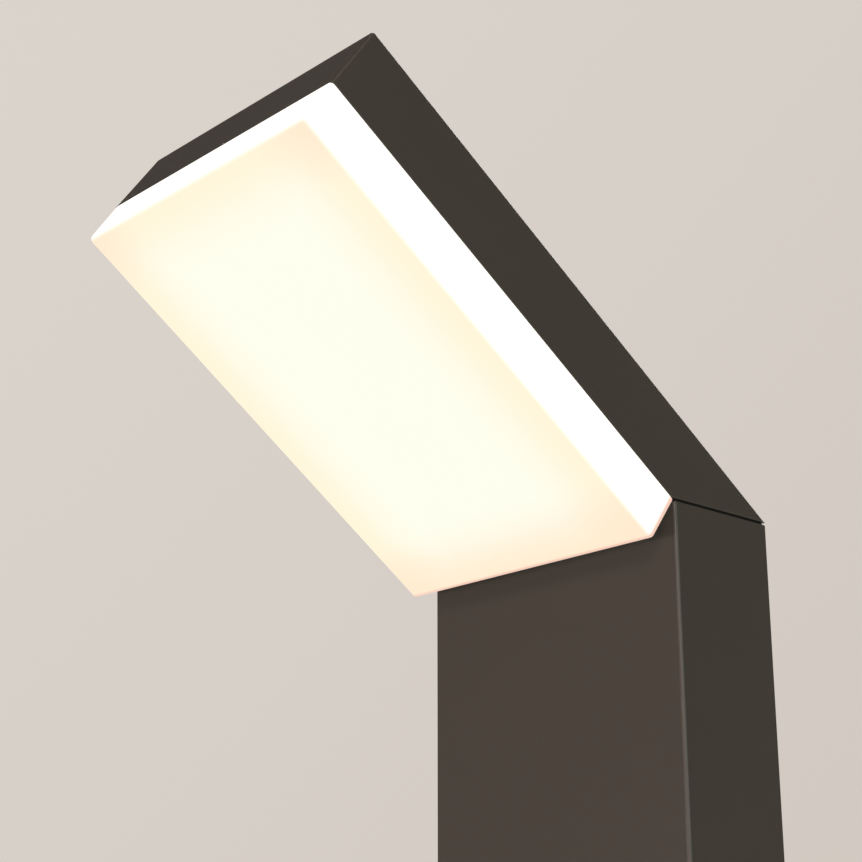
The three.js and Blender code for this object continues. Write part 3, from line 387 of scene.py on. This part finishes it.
def led_board():
    """A white circuit board. The chips that stand under it are yellow with phosphor."""
    shader = Shader("led_board", Roughness=0.35)
    place = shader.node("ShaderNodeSeparateXYZ", Vector=shader.head_position())
    chip = shader.span(
        place.outputs["Z"], BOARD_UNDERSIDE - CHIP_FADE, BOARD_UNDERSIDE - 2 * CHIP_FADE
    )
    weave = shader.span(shader.noise(420.0, 3.0), 0.3, 0.7)
    mask = shader.mix(weave, scaled(MASK_COLOUR, 0.95), MASK_COLOUR)
    phosphor = shader.mix(shader.noise(900.0, 4.0), scaled(CHIP_COLOUR, 0.85), CHIP_COLOUR)
    shader.colour(shader.mix(chip, mask, phosphor))
    shader.bump(weave, 0.06, 0.00003)
    return shader.material


def striped_insulation():
    """Green insulation with a yellow stripe wound round it."""
    shader = Shader("lead_green_yellow")
    stripes = shader.node(
        "ShaderNodeTexWave", {"bands_direction": "DIAGONAL"}, Vector=shader.position(),
        Scale=55.0, Distortion=0.0,
    )
    band = shader.span(stripes.outputs["Fac"], 0.62, 0.68)
    shader.colour(shader.mix(band, (0.03, 0.24, 0.05), (0.78, 0.62, 0.03)))
    shader.roughness(shader.span(shader.noise(500.0, 3.0), 0.3, 0.7, 0.36, 0.46))
    shader.bump(shader.noise(900.0, 3.0), 0.1, 0.00005)
    return shader.material


def make_materials():
    """One material for each material slot in the record."""
    return {
        "powder_coat": powder_coat("powder_coat", COAT_COLOUR),
        "base_powder_coat": powder_coat("base_powder_coat", COAT_COLOUR),
        "cast_aluminium": cast_metal("cast_aluminium", (0.56, 0.57, 0.58)),
        "rolled_aluminium": drawn_metal("rolled_aluminium", (0.78, 0.79, 0.80), 0.28, 0.42),
        "galvanised_steel": galvanised_steel(),
        "stainless_steel": drawn_metal(
            "stainless_steel", (0.62, 0.61, 0.59), 0.22, 0.34, (500.0, 500.0, 500.0)
        ),
        "opal_acrylic": opal_diffuser(),
        "black_nylon": moulded_plastic("black_nylon", (0.018, 0.018, 0.019), 0.48),
        "white_plastic": moulded_plastic("white_plastic", (0.76, 0.76, 0.73), 0.40),
        "led_board": led_board(),
        "grey_plastic": moulded_plastic("grey_plastic", (0.36, 0.37, 0.38), 0.45),
        "orange_plastic": moulded_plastic("orange_plastic", (0.80, 0.22, 0.03), 0.38),
        "rubber": soft_rubber(),
        "tinned_copper": drawn_metal(
            "tinned_copper", (0.72, 0.70, 0.67), 0.25, 0.40, (60.0, 700.0, 60.0)
        ),
        "lead_brown": moulded_plastic("lead_brown", (0.13, 0.055, 0.03), 0.40),
        "lead_blue": moulded_plastic("lead_blue", (0.03, 0.13, 0.42), 0.40),
        "lead_green_yellow": striped_insulation(),
        "cable_white": moulded_plastic("cable_white", (0.70, 0.70, 0.68), 0.42, 900.0),
    }


# ------------------------------------------------------------------ mesh helpers

CIRCLE_STEPS = 36
FINE_STEPS = 48


def make_object(name, mesh_data, transform=None):
    """An object at the origin, with the transform put into its mesh."""
    if transform is not None:
        mesh_data.transform(transform)
    made = bpy.data.objects.new(name, mesh_data)
    bpy.context.scene.collection.objects.link(made)
    return made


def mesh_from(name, bm):
    bmesh.ops.recalc_face_normals(bm, faces=bm.faces)
    data = bpy.data.meshes.new(name)
    bm.to_mesh(data)
    bm.free()
    return data


def rounded_ring(half_x, half_y, radius, z, steps=6, centre=(0.0, 0.0)):
    """The corner points of a rounded rectangle at height z, counter-clockwise."""
    points = []
    for quarter, (sx, sy) in enumerate(((1, 1), (-1, 1), (-1, -1), (1, -1))):
        cx = centre[0] + sx * (half_x - radius)
        cy = centre[1] + sy * (half_y - radius)
        for step in range(steps + 1):
            angle = math.pi / 2 * (quarter + step / steps)
            x = cx + radius * math.cos(angle)
            y = cy + radius * math.sin(angle)
            points.append(Vector((x, y, z)))
    return points


def circle(radius, z):
    """The points of a circle at height z."""
    turn = 2 * math.pi / CIRCLE_STEPS
    return [
        Vector((radius * math.cos(i * turn), radius * math.sin(i * turn), z))
        for i in range(CIRCLE_STEPS)
    ]


def hexagon(half_flats, z):
    """A hexagon with as many points as a circle."""
    points = []
    for point in circle(half_flats, z):
        angle = math.atan2(point.y, point.x) % (math.pi / 3) - math.pi / 6
        points.append(Vector((point.x / math.cos(angle), point.y / math.cos(angle), z)))
    return points


def skin(name, rings, closed=False):
    """A mesh through rings of equally many points, capped at both ends or closed on itself."""
    bm = bmesh.new()
    rows = [[bm.verts.new(point) for point in ring] for ring in rings]
    pairs = list(zip(rows, rows[1:]))
    if closed:
        pairs.append((rows[-1], rows[0]))
    else:
        bm.faces.new(rows[0])
        bm.faces.new(rows[-1])
    for lower, upper in pairs:
        for i in range(len(lower)):
            j = (i + 1) % len(lower)
            bm.faces.new((lower[i], lower[j], upper[j], upper[i]))
    return mesh_from(name, bm)


def quarter_arc(radius, steps=5):
    """(inset, height) steps of a rounded edge, from the wall up to the top."""
    for step in range(steps + 1):
        angle = math.pi / 2 * step / steps
        yield radius * (1 - math.cos(angle)), radius * math.sin(angle)


def apply_modifiers(made):
    graph = bpy.context.evaluated_depsgraph_get()
    result = bpy.data.meshes.new_from_object(made.evaluated_get(graph))
    made.modifiers.clear()
    made.data = result


def combine(made, operation, others):
    """Joins other meshes to an object, or takes them out of it."""
    for data in others:
        other = make_object("other", data)
        boolean = made.modifiers.new("combine", "BOOLEAN")
        boolean.operation = operation
        boolean.solver = "EXACT"
        boolean.object = other
        apply_modifiers(made)
        bpy.data.objects.remove(other)


def smooth(made):
    """Smooth shading that keeps large flat faces flat."""
    for polygon in made.data.polygons:
        polygon.use_smooth = True
    weighted = made.modifiers.new("flat_faces", "WEIGHTED_NORMAL")
    weighted.keep_sharp = True
    weighted.weight = 100


def finish_piece(made, material, slot, *nodes):
    made.data.materials.clear()
    made.data.materials.append(material)
    smooth(made)
    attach(made, BODY)
    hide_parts(*nodes)


def bar(radius, start, end, sides=32):
    """A round bar between two points, as a mesh."""
    start, end = Vector(start), Vector(end)
    axis = end - start
    bm = bmesh.new()
    bmesh.ops.create_cone(
        bm, cap_ends=True, segments=sides, radius1=radius, radius2=radius, depth=axis.length
    )
    turn = axis.to_track_quat("Z", "Y").to_matrix().to_4x4()
    bmesh.ops.transform(bm, matrix=Matrix.Translation((start + end) / 2) @ turn, verts=bm.verts)
    return mesh_from("bar", bm)


# ------------------------------------------------------------------ carried-over nodes

NODE_EDGE = 0.2 * MM
SHARP_ANGLE = math.radians(50)


def dress_nodes(materials):
    """Gives every CAD node its slot's material, and breaks its sharp edges a little."""
    for part in frame["record"]["subparts"]:
        node = frame["nodes"][part["node"]]
        look = materials[part["material_slot"]]
        if not node.material_slots:
            node.data.materials.append(look)
        for held in node.material_slots:
            held.material = look
        edges = node.modifiers.new("broken_edges", "BEVEL")
        edges.limit_method = "ANGLE"
        edges.angle_limit = SHARP_ANGLE
        edges.width = NODE_EDGE
        edges.segments = 2
        edges.use_clamp_overlap = True


# ------------------------------------------------------------------ post

POST_INNER_CORNER = 0.5 * MM


def build_post(material):
    x = POST_WIDTH / 2
    y = POST_DEPTH / 2
    rings = [rounded_ring(x - POST_LIP, y - POST_LIP, POST_CORNER - POST_LIP, post_low.z)]
    for inset, height in quarter_arc(POST_LIP):
        rings.append(rounded_ring(
            x - POST_LIP + height, y - POST_LIP + height,
            POST_CORNER - POST_LIP + height, post_low.z + inset,
        ))
    for inset, height in quarter_arc(POST_LIP):
        rings.append(rounded_ring(
            x - inset, y - inset, POST_CORNER - inset, post_high.z - POST_LIP + height,
        ))
    for z in (post_high.z, post_low.z):
        rings.append(rounded_ring(x - POST_WALL, y - POST_WALL, POST_INNER_CORNER, z))
    made = make_object("post", skin("post", rings, closed=True))
    reach = POST_WALL + 2 * MM
    cutters = []
    for side, node in ((-1, "post_grub_screw_left"), (1, "post_grub_screw_right")):
        low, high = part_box(node)
        z = (low.z + high.z) / 2
        cutters.append(bar(M6_HOLE, (side * (x - reach), 0, z), (side * (x + reach), 0, z), FINE_STEPS))
    for node in ("neck_set_screw_left", "neck_set_screw_right"):
        low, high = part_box(node)
        middle = (low + high) / 2
        start = (middle.x, y - reach, middle.z)
        cutters.append(bar(M6_HOLE, start, (middle.x, y + reach, middle.z), FINE_STEPS))
    combine(made, "DIFFERENCE", cutters)
    finish_piece(made, material, "powder_coat", "post_tube")


# ------------------------------------------------------------------ head shell

CABLE_HOLE = 6 * MM
BOSS_RADIUS = 4.2 * MM
BOSS_FOOT = 11.6 * MM
HEAD_ROOF = HEAD_THICKNESS - HEAD_WALL


def head_bar(radius, x, y, low, high):
    """A round bar square to the head's underside, as a mesh in the model's frame."""
    return bar(radius, HEAD_TO_ROW @ Vector((x, y, low)), HEAD_TO_ROW @ Vector((x, y, high)))


def floor_inside(z):
    """The y of the level floor's upper side at a height z above the shell's rim."""
    return (z - HEAD_FLOOR / math.cos(HEAD_TILT)) / math.tan(HEAD_TILT)


def head_casing():
    """The open box of the shell, with its outer edges rounded."""
    outer = [
        (0, 0),
        (SEAT_DEPTH * math.cos(HEAD_TILT), HEAD_THICKNESS),
        (-HEAD_LENGTH, HEAD_THICKNESS),
        (-HEAD_LENGTH, 0),
    ]
    inner = [
        (floor_inside(0), 0),
        (floor_inside(HEAD_ROOF), HEAD_ROOF),
        (HEAD_WALL - HEAD_LENGTH, HEAD_ROOF),
        (HEAD_WALL - HEAD_LENGTH, 0),
    ]
    bm = bmesh.new()

    def corners(profile, half):
        return [
            [bm.verts.new((side * half, y, z)) for y, z in profile] for side in (-1, 1)
        ]

    left, right = corners(outer, POST_WIDTH / 2)
    inner_left, inner_right = corners(inner, POST_WIDTH / 2 - HEAD_WALL)
    for a, b in ((left, right), (inner_left, inner_right)):
        bm.faces.new(a)
        bm.faces.new(b)
        for i in range(3):
            bm.faces.new((a[i], a[i + 1], b[i + 1], b[i]))
    for a, b in ((left, inner_left), (right, inner_right)):
        bm.faces.new((a[3], a[0], b[0], b[3]))
    bm.faces.new((left[0], right[0], inner_right[0], inner_left[0]))
    bm.faces.new((left[3], right[3], inner_right[3], inner_left[3]))

    # Round the outer edges: the seat's lip less than the rest, and the rim least of all.
    weight = bm.edges.layers.float.new("bevel_weight_edge")
    seat_line = {left[0], left[1], right[0], right[1]}
    rim_line = {left[0], left[3], right[0], right[3]}
    outside = set(left) | set(right)
    for edge in bm.edges:
        ends = set(edge.verts)
        if not ends <= outside:
            continue
        if ends <= seat_line:
            edge[weight] = HEAD_SEAT_EDGE / HEAD_EDGE
        elif ends <= rim_line:
            edge[weight] = HEAD_RIM_EDGE / HEAD_EDGE
        else:
            edge[weight] = 1.0
    made = make_object("head_casing", mesh_from("head_casing", bm), HEAD_TO_ROW)
    bevel = made.modifiers.new("edges", "BEVEL")
    bevel.limit_method = "WEIGHT"
    bevel.width = HEAD_EDGE
    bevel.segments = 5
    apply_modifiers(made)
    return made


def build_head_shell(material):
    made = head_casing()
    bosses = []
    holes = []
    for i in range(1, 5):
        corners = box_in_head(f"spreader_screw_{i}")
        x, y = middle_of(corners)
        bosses.append(head_bar(BOSS_RADIUS, x, y, BOSS_FOOT, HEAD_ROOF + MM))
        holes.append(head_bar(M3_HOLE, x, y, BOSS_FOOT - MM, corners[1].z + MM))
        x, y = middle_of(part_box(f"head_screw_{i}"))
        holes.append(bar(M5_HOLE, (x, y, HEAD_SEAT - MM), (x, y, HEAD_SEAT + HEAD_FLOOR + MM)))
    x, y = middle_of(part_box("cable_grommet"))
    holes.append(bar(
        CABLE_HOLE, (x, y, HEAD_SEAT - MM), (x, y, HEAD_SEAT + HEAD_FLOOR + MM), FINE_STEPS
    ))
    combine(made, "UNION", bosses)
    combine(made, "DIFFERENCE", holes)
    finish_piece(made, material, "powder_coat", "head_shell")


# ------------------------------------------------------------------ neck gasket

GASKET_INSET = 0.8 * MM
GASKET_EDGE = 0.15 * MM
GASKET_GAP = 0.05 * MM
GASKET_CABLE_HOLE = 6.3 * MM


def build_gasket(material):
    """The flat rubber seal that fills the seam between the post and the head."""
    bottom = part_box("neck_gasket")[0].z
    top = HEAD_SEAT - GASKET_GAP
    x = POST_WIDTH / 2 - GASKET_INSET
    y = POST_DEPTH / 2 - GASKET_INSET
    rings = [rounded_ring(x - GASKET_EDGE, y - GASKET_EDGE, POST_CORNER, bottom)]
    rings.append(rounded_ring(x, y, POST_CORNER, bottom + GASKET_EDGE))
    rings.append(rounded_ring(x, y, POST_CORNER, top - GASKET_EDGE))
    rings.append(rounded_ring(x - GASKET_EDGE, y - GASKET_EDGE, POST_CORNER, top))
    made = make_object("seam_seal", skin("seam_seal", rings))
    passing = [(f"head_screw_{i}", M5_HOLE) for i in range(1, 5)]
    passing.append(("cable_grommet", GASKET_CABLE_HOLE))
    cutters = []
    for node, radius in passing:
        hx, hy = middle_of(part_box(node))
        cutters.append(bar(radius, (hx, hy, bottom - MM), (hx, hy, top + MM), FINE_STEPS))
    combine(made, "DIFFERENCE", cutters)
    finish_piece(made, material, "rubber", "neck_gasket")


# ------------------------------------------------------------------ diffuser

DIFFUSER_EDGE = 2.5 * MM
DIFFUSER_CORNER = 1.6 * MM
DIFFUSER_WALL = 3 * MM
DIFFUSER_DRAFT = 0.3 * MM
DIFFUSER_RIM = 0.05 * MM
LIP_WALL = 2.2 * MM
LIP_SIDE_INSET = 4.4 * MM
LIP_UPPER_INSET = 4.2 * MM
LIP_LOWER_INSET = 9 * MM
LIP_CORNER = 1.5 * MM
RIM_EDGE = 0.2 * MM
DIFFUSER_STEPS = 8
RIM_STEPS = 3
SMALLEST_RADIUS = 0.02 * MM


def build_diffuser(material):
    low, high = box_in_head("diffuser")
    half_x = (high.x - low.x) / 2
    half_y = (high.y - low.y) / 2
    centre = (0.0, (high.y + low.y) / 2)
    face = low.z
    rim = -DIFFUSER_RIM
    shelf = rim - DIFFUSER_WALL

    def ring(inset, radius, z):
        """A ring on the drafted wall, moved in by inset."""
        inset += DIFFUSER_DRAFT * (rim - z) / (rim - face)
        return rounded_ring(half_x - inset, half_y - inset, radius, z, DIFFUSER_STEPS, centre)

    def lip_ring(inset, z):
        x = POST_WIDTH / 2 - LIP_SIDE_INSET - inset
        upper = LIP_UPPER_INSET - HEAD_LENGTH + inset
        lower = -LIP_LOWER_INSET - inset
        middle = (0.0, (upper + lower) / 2)
        return rounded_ring(x, (lower - upper) / 2, LIP_CORNER, z, DIFFUSER_STEPS, middle)

    rings = []
    for inset, height in reversed(list(quarter_arc(DIFFUSER_EDGE, DIFFUSER_STEPS))):
        radius = max(DIFFUSER_CORNER - inset, SMALLEST_RADIUS)
        rings.append(ring(inset, radius, face + DIFFUSER_EDGE - height))
    for inset, height in quarter_arc(RIM_EDGE, RIM_STEPS):
        rings.append(ring(inset, DIFFUSER_CORNER - inset, rim - RIM_EDGE + height))
    rings.append(lip_ring(0, rim))
    rings.append(lip_ring(0, high.z))
    rings.append(lip_ring(LIP_WALL, high.z))
    rings.append(lip_ring(LIP_WALL, shelf))
    rings.append(ring(DIFFUSER_WALL, LIP_CORNER, shelf))
    rings.append(ring(DIFFUSER_WALL, LIP_CORNER, face + DIFFUSER_WALL))
    made = make_object("light_box", skin("light_box", rings), HEAD_TO_ROW)
    # Its glow is only seen: the studio's lights alone light the post and the shell.
    made.visible_diffuse = False
    made.visible_glossy = False
    finish_piece(made, material, "opal_acrylic", "diffuser")


# ------------------------------------------------------------------ base plate

BASE_CORNER = 8 * MM
BASE_EDGE = 0.8 * MM
BASE_STEPS = 10
SEAT_RADIUS = 6.15 * MM
SEAT_FOOT = 0.3 * MM
SEAT_HEIGHT = 2.8 * MM
ANCHOR_X = 66 * MM
ANCHOR_Y = 43 * MM
ANCHOR_RADIUS = 4.5 * MM
ENTRY_X = -28 * MM
ENTRY_Y = -2 * MM
ENTRY_RADIUS = 17 * MM


def build_base_plate(material):
    low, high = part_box("base_plate")
    x = high.x
    y = high.y
    rings = []
    for inset, height in reversed(list(quarter_arc(BASE_EDGE))):
        rings.append(rounded_ring(
            x - inset, y - inset, BASE_CORNER - inset, low.z + BASE_EDGE - height, BASE_STEPS
        ))
    for inset, height in quarter_arc(BASE_EDGE):
        rings.append(rounded_ring(
            x - inset, y - inset, BASE_CORNER - inset, high.z - BASE_EDGE + height, BASE_STEPS
        ))
    made = make_object("foot_plate", skin("foot_plate", rings))
    holes = [(sx * ANCHOR_X, sy * ANCHOR_Y, ANCHOR_RADIUS) for sx in (-1, 1) for sy in (-1, 1)]
    holes.append((ENTRY_X, ENTRY_Y, ENTRY_RADIUS))
    cutters = [
        bar(radius, (hx, hy, low.z - MM), (hx, hy, high.z + MM), FINE_STEPS)
        for hx, hy, radius in holes
    ]
    for i in range(1, 5):
        place = (*middle_of(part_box(f"socket_screw_{i}")), 0.0)
        cone = skin("countersink", [
            circle(SEAT_RADIUS, low.z - MM),
            circle(SEAT_RADIUS, SEAT_FOOT),
            circle(M6_HOLE, SEAT_FOOT + SEAT_HEIGHT),
            circle(M6_HOLE, high.z + MM),
        ])
        cone.transform(Matrix.Translation(place))
        cutters.append(cone)
    combine(made, "DIFFERENCE", cutters)
    finish_piece(made, material, "base_powder_coat", "base_plate")


# ------------------------------------------------------------------ screws

# Shank radius, head radius, head height and half the width across the hexagon socket's flats.
SCREW_SIZES = {
    "M3": (1.5 * MM, 2.7 * MM, 1.8 * MM, 1.0 * MM),
    "M4": (2.0 * MM, 3.6 * MM, 2.4 * MM, 1.25 * MM),
    "M5": (2.5 * MM, 4.3 * MM, 3.0 * MM, 1.5 * MM),
    "M6": (3.0 * MM, 5.8 * MM, 2.8 * MM, 2.0 * MM),
}
THREAD_PITCH = 0.8 * MM
THREAD_DEPTH = 0.25 * MM
SCREW_CHAMFER = 0.25 * MM

# Shares of a head's height: its socket's depth and a pan head's rounded edge.
SOCKET_DEPTH = 0.6
PAN_ROUNDING = 0.4

# A grub screw's socket, as a share of the one in a screw head of the same thread.
GRUB_SOCKET = 0.75


def threaded(radius, low, high):
    """The rings of a threaded shank, from its chamfered tip up."""
    rings = [circle(radius - 2 * THREAD_DEPTH, low)]
    z = low + THREAD_PITCH / 2
    while z < high - THREAD_PITCH:
        rings.append(circle(radius - THREAD_DEPTH, z))
        rings.append(circle(radius, z + THREAD_PITCH / 2))
        z += THREAD_PITCH
    rings.append(circle(radius - THREAD_DEPTH, z))
    return rings


def socket(half_flats, face, depth):
    """The rings of a hexagon socket in a screw's face."""
    return [
        hexagon(half_flats + SCREW_CHAMFER, face),
        hexagon(half_flats, face - SCREW_CHAMFER),
        hexagon(half_flats, face - depth),
    ]


def pan_screw(size, length):
    """A screw whose face is at z = 0, with a round-edged head."""
    shank, head, height, flats = SCREW_SIZES[size]
    rings = threaded(shank, -length, -height)
    rings += [circle(shank, -height), circle(head - SCREW_CHAMFER, -height)]
    rings.append(circle(head, SCREW_CHAMFER - height))
    edge = height * PAN_ROUNDING
    for inset, rise in quarter_arc(edge):
        rings.append(circle(head - inset, rise - edge))
    return rings + socket(flats, 0.0, height * SOCKET_DEPTH)


def countersunk_screw(size, length):
    """A screw whose face is at z = 0, with a conical head."""
    shank, head, height, flats = SCREW_SIZES[size]
    rings = threaded(shank, -length, -height)
    rings += [circle(shank, -height), circle(head, -SCREW_CHAMFER)]
    rings.append(circle(head - SCREW_CHAMFER, 0.0))
    return rings + socket(flats, 0.0, height * SOCKET_DEPTH)


def grub_screw(size, length):
    """A screw without a head, whose face is at z = 0."""
    shank, _, _, flats = SCREW_SIZES[size]
    rings = threaded(shank, -length, -THREAD_PITCH)
    rings.append(circle(shank, -2 * SCREW_CHAMFER))
    rings.append(circle(shank - 2 * SCREW_CHAMFER, 0.0))
    return rings + socket(flats * GRUB_SOCKET, 0.0, shank)


def build_screw(node, kind, outward, frame_matrix, material):
    """A screw in place of a CAD node, facing outward along one axis of the given frame."""
    low, high = box_in(node, frame_matrix.inverted())
    outward = Vector(outward)
    axis = [abs(v) for v in outward].index(1.0)
    length = high[axis] - low[axis]
    half = (high - low)[(axis + 1) % 3] / 2
    place = (low + high) / 2
    place[axis] = high[axis] if outward[axis] > 0 else low[axis]
    which = 0 if kind is grub_screw else 1
    size = min(SCREW_SIZES, key=lambda name: abs(SCREW_SIZES[name][which] - half))
    turn = outward.to_track_quat("Z", "Y").to_matrix().to_4x4()
    made = make_object(
        "fine_" + node,
        skin(node, kind(size, length)),
        frame_matrix @ Matrix.Translation(place) @ turn,
    )
    finish_piece(made, material, "stainless_steel", node)


def build_screws(material):
    """Every screw of the light, by the way that it faces."""
    upright = Matrix.Identity(4)
    front, up, down = (0, -1, 0), (0, 0, 1), (0, 0, -1)
    for i in range(1, 5):
        build_screw(f"socket_screw_{i}", countersunk_screw, down, upright, material)
        build_screw(f"head_screw_{i}", pan_screw, up, upright, material)
        build_screw(f"spreader_screw_{i}", pan_screw, down, HEAD_TO_ROW, material)
        build_screw(f"board_screw_{i}", pan_screw, down, HEAD_TO_ROW, material)
    for side, outward in (("left", (-1, 0, 0)), ("right", (1, 0, 0))):
        build_screw("post_grub_screw_" + side, grub_screw, outward, upright, material)
        build_screw("neck_set_screw_" + side, grub_screw, (0, 1, 0), upright, material)
        build_screw("gear_tray_screw_" + side, pan_screw, front, upright, material)
        build_screw("terminal_screw_" + side, pan_screw, front, upright, material)
    for node in ("driver_screw_lower", "driver_screw_upper", "earth_screw"):
        build_screw(node, pan_screw, front, upright, material)


# ------------------------------------------------------------------ stage and light

# The wall behind the object is lit on its own, as in a studio, and fades to one side.
WALL_BRIGHT = (0.705, 0.655, 0.600)
WALL_DIM = (0.635, 0.575, 0.525)
WALL_FADE = Vector((0.55, 0.45, -0.70))
WALL_FADE_FROM = -0.65
WALL_FADE_TO = 0.20
ROOM_COLOUR = (0.10, 0.095, 0.09)
FLOOR_COLOUR = (0.62, 0.58, 0.54)
FLOOR_GLOW = 0.55
FLOOR_SIZE = 12.0

# Soft lights aimed at the joint: azimuth 0 is the front and 90 the right. The strength is what
# a white card that faces the light would show, in red, green and blue.
LIGHTS = {
    "key": dict(azimuth=42, elevation=14, distance=3.6, size=0.8, strength=(0.260, 0.215, 0.195)),
    "front": dict(azimuth=-5, elevation=9, distance=3.6, size=1.0, strength=(0.02, 0.018, 0.018)),
    "bounce": dict(azimuth=-5, elevation=-15, distance=2.0, size=0.4, strength=(0.460, 0.372, 0.390)),
    "side": dict(azimuth=85, elevation=6, distance=3.6, size=1.8, strength=(0.20, 0.225, 0.225)),
    "top": dict(azimuth=66, elevation=61, distance=2.4, size=0.6, strength=(0.050, 0.040, 0.036)),
    "back": dict(azimuth=215, elevation=35, distance=2.4, size=1.2, strength=(0.4, 0.4, 0.4)),
}


def pale_floor():
    """A pale floor with an even glow of its own, like a light table."""
    shader = Shader("pale_floor", Roughness=0.9)
    colour = shader.mix(shader.noise(3.0), scaled(FLOOR_COLOUR, 0.99), scaled(FLOOR_COLOUR, 1.01))
    shader.colour(colour)
    shader.link(colour, shader.surface.inputs["Emission Color"])
    shader.surface.inputs["Emission Strength"].default_value = FLOOR_GLOW
    return shader.material


def add_floor():
    bpy.ops.mesh.primitive_plane_add(size=FLOOR_SIZE)
    floor = bpy.context.object
    floor.name = "floor"
    floor.data.materials.append(pale_floor())


def add_room():
    """The camera sees the bright wall, and the object sees a dim room."""
    world = bpy.data.worlds.new("studio")
    bpy.context.scene.world = world
    world.use_nodes = True
    tree = world.node_tree
    tree.nodes.clear()

    def background(colour):
        made = tree.nodes.new("ShaderNodeBackground")
        if isinstance(colour, bpy.types.NodeSocket):
            tree.links.new(colour, made.inputs["Color"])
        else:
            made.inputs["Color"].default_value = (*colour, 1.0)
        return made.outputs["Background"]

    direction = tree.nodes.new("ShaderNodeTexCoord").outputs["Generated"]
    slope = tree.nodes.new("ShaderNodeVectorMath")
    slope.operation = "DOT_PRODUCT"
    tree.links.new(direction, slope.inputs[0])
    slope.inputs[1].default_value = WALL_FADE.normalized()
    fade = tree.nodes.new("ShaderNodeMapRange")
    fade.interpolation_type = "SMOOTHSTEP"
    fade.inputs["From Min"].default_value = WALL_FADE_FROM
    fade.inputs["From Max"].default_value = WALL_FADE_TO
    tree.links.new(slope.outputs["Value"], fade.inputs["Value"])
    wall = tree.nodes.new("ShaderNodeMix")
    wall.data_type = "RGBA"
    tree.links.new(fade.outputs["Result"], wall.inputs[0])
    wall.inputs[6].default_value = (*WALL_BRIGHT, 1.0)
    wall.inputs[7].default_value = (*WALL_DIM, 1.0)
    path = tree.nodes.new("ShaderNodeLightPath")
    choice = tree.nodes.new("ShaderNodeMixShader")
    tree.links.new(path.outputs["Is Camera Ray"], choice.inputs[0])
    tree.links.new(background(ROOM_COLOUR), choice.inputs[1])
    tree.links.new(background(wall.outputs[2]), choice.inputs[2])
    output = tree.nodes.new("ShaderNodeOutputWorld")
    tree.links.new(choice.outputs["Shader"], output.inputs["Surface"])


def add_softbox(name, azimuth, elevation, distance, size, strength):
    target = Vector((0, 0, JOINT_HEIGHT))
    a = math.radians(azimuth)
    e = math.radians(elevation)
    away = Vector((math.sin(a) * math.cos(e), -math.cos(a) * math.cos(e), math.sin(e)))
    brightest = max(strength)
    data = bpy.data.lights.new(name, "AREA")
    data.shape = "SQUARE"
    data.size = size
    data.energy = brightest * (math.pi * distance) ** 2
    data.color = scaled(strength, 1 / brightest)
    light = bpy.data.objects.new(name, data)
    bpy.context.scene.collection.objects.link(light)
    light.location = target + away * distance
    light.rotation_euler = away.to_track_quat("Z", "Y").to_euler()


def add_lights():
    for name, placing in LIGHTS.items():
        add_softbox(name, **placing)


# ------------------------------------------------------------------ assembly

bpy.context.scene.view_settings.view_transform = "Standard"
add_camera()
add_floor()
add_room()
add_lights()

materials = make_materials()
dress_nodes(materials)
build_post(materials["powder_coat"])
build_head_shell(materials["powder_coat"])
build_gasket(materials["rubber"])
build_diffuser(materials["opal_acrylic"])
build_base_plate(materials["base_powder_coat"])
build_screws(materials["stainless_steel"])
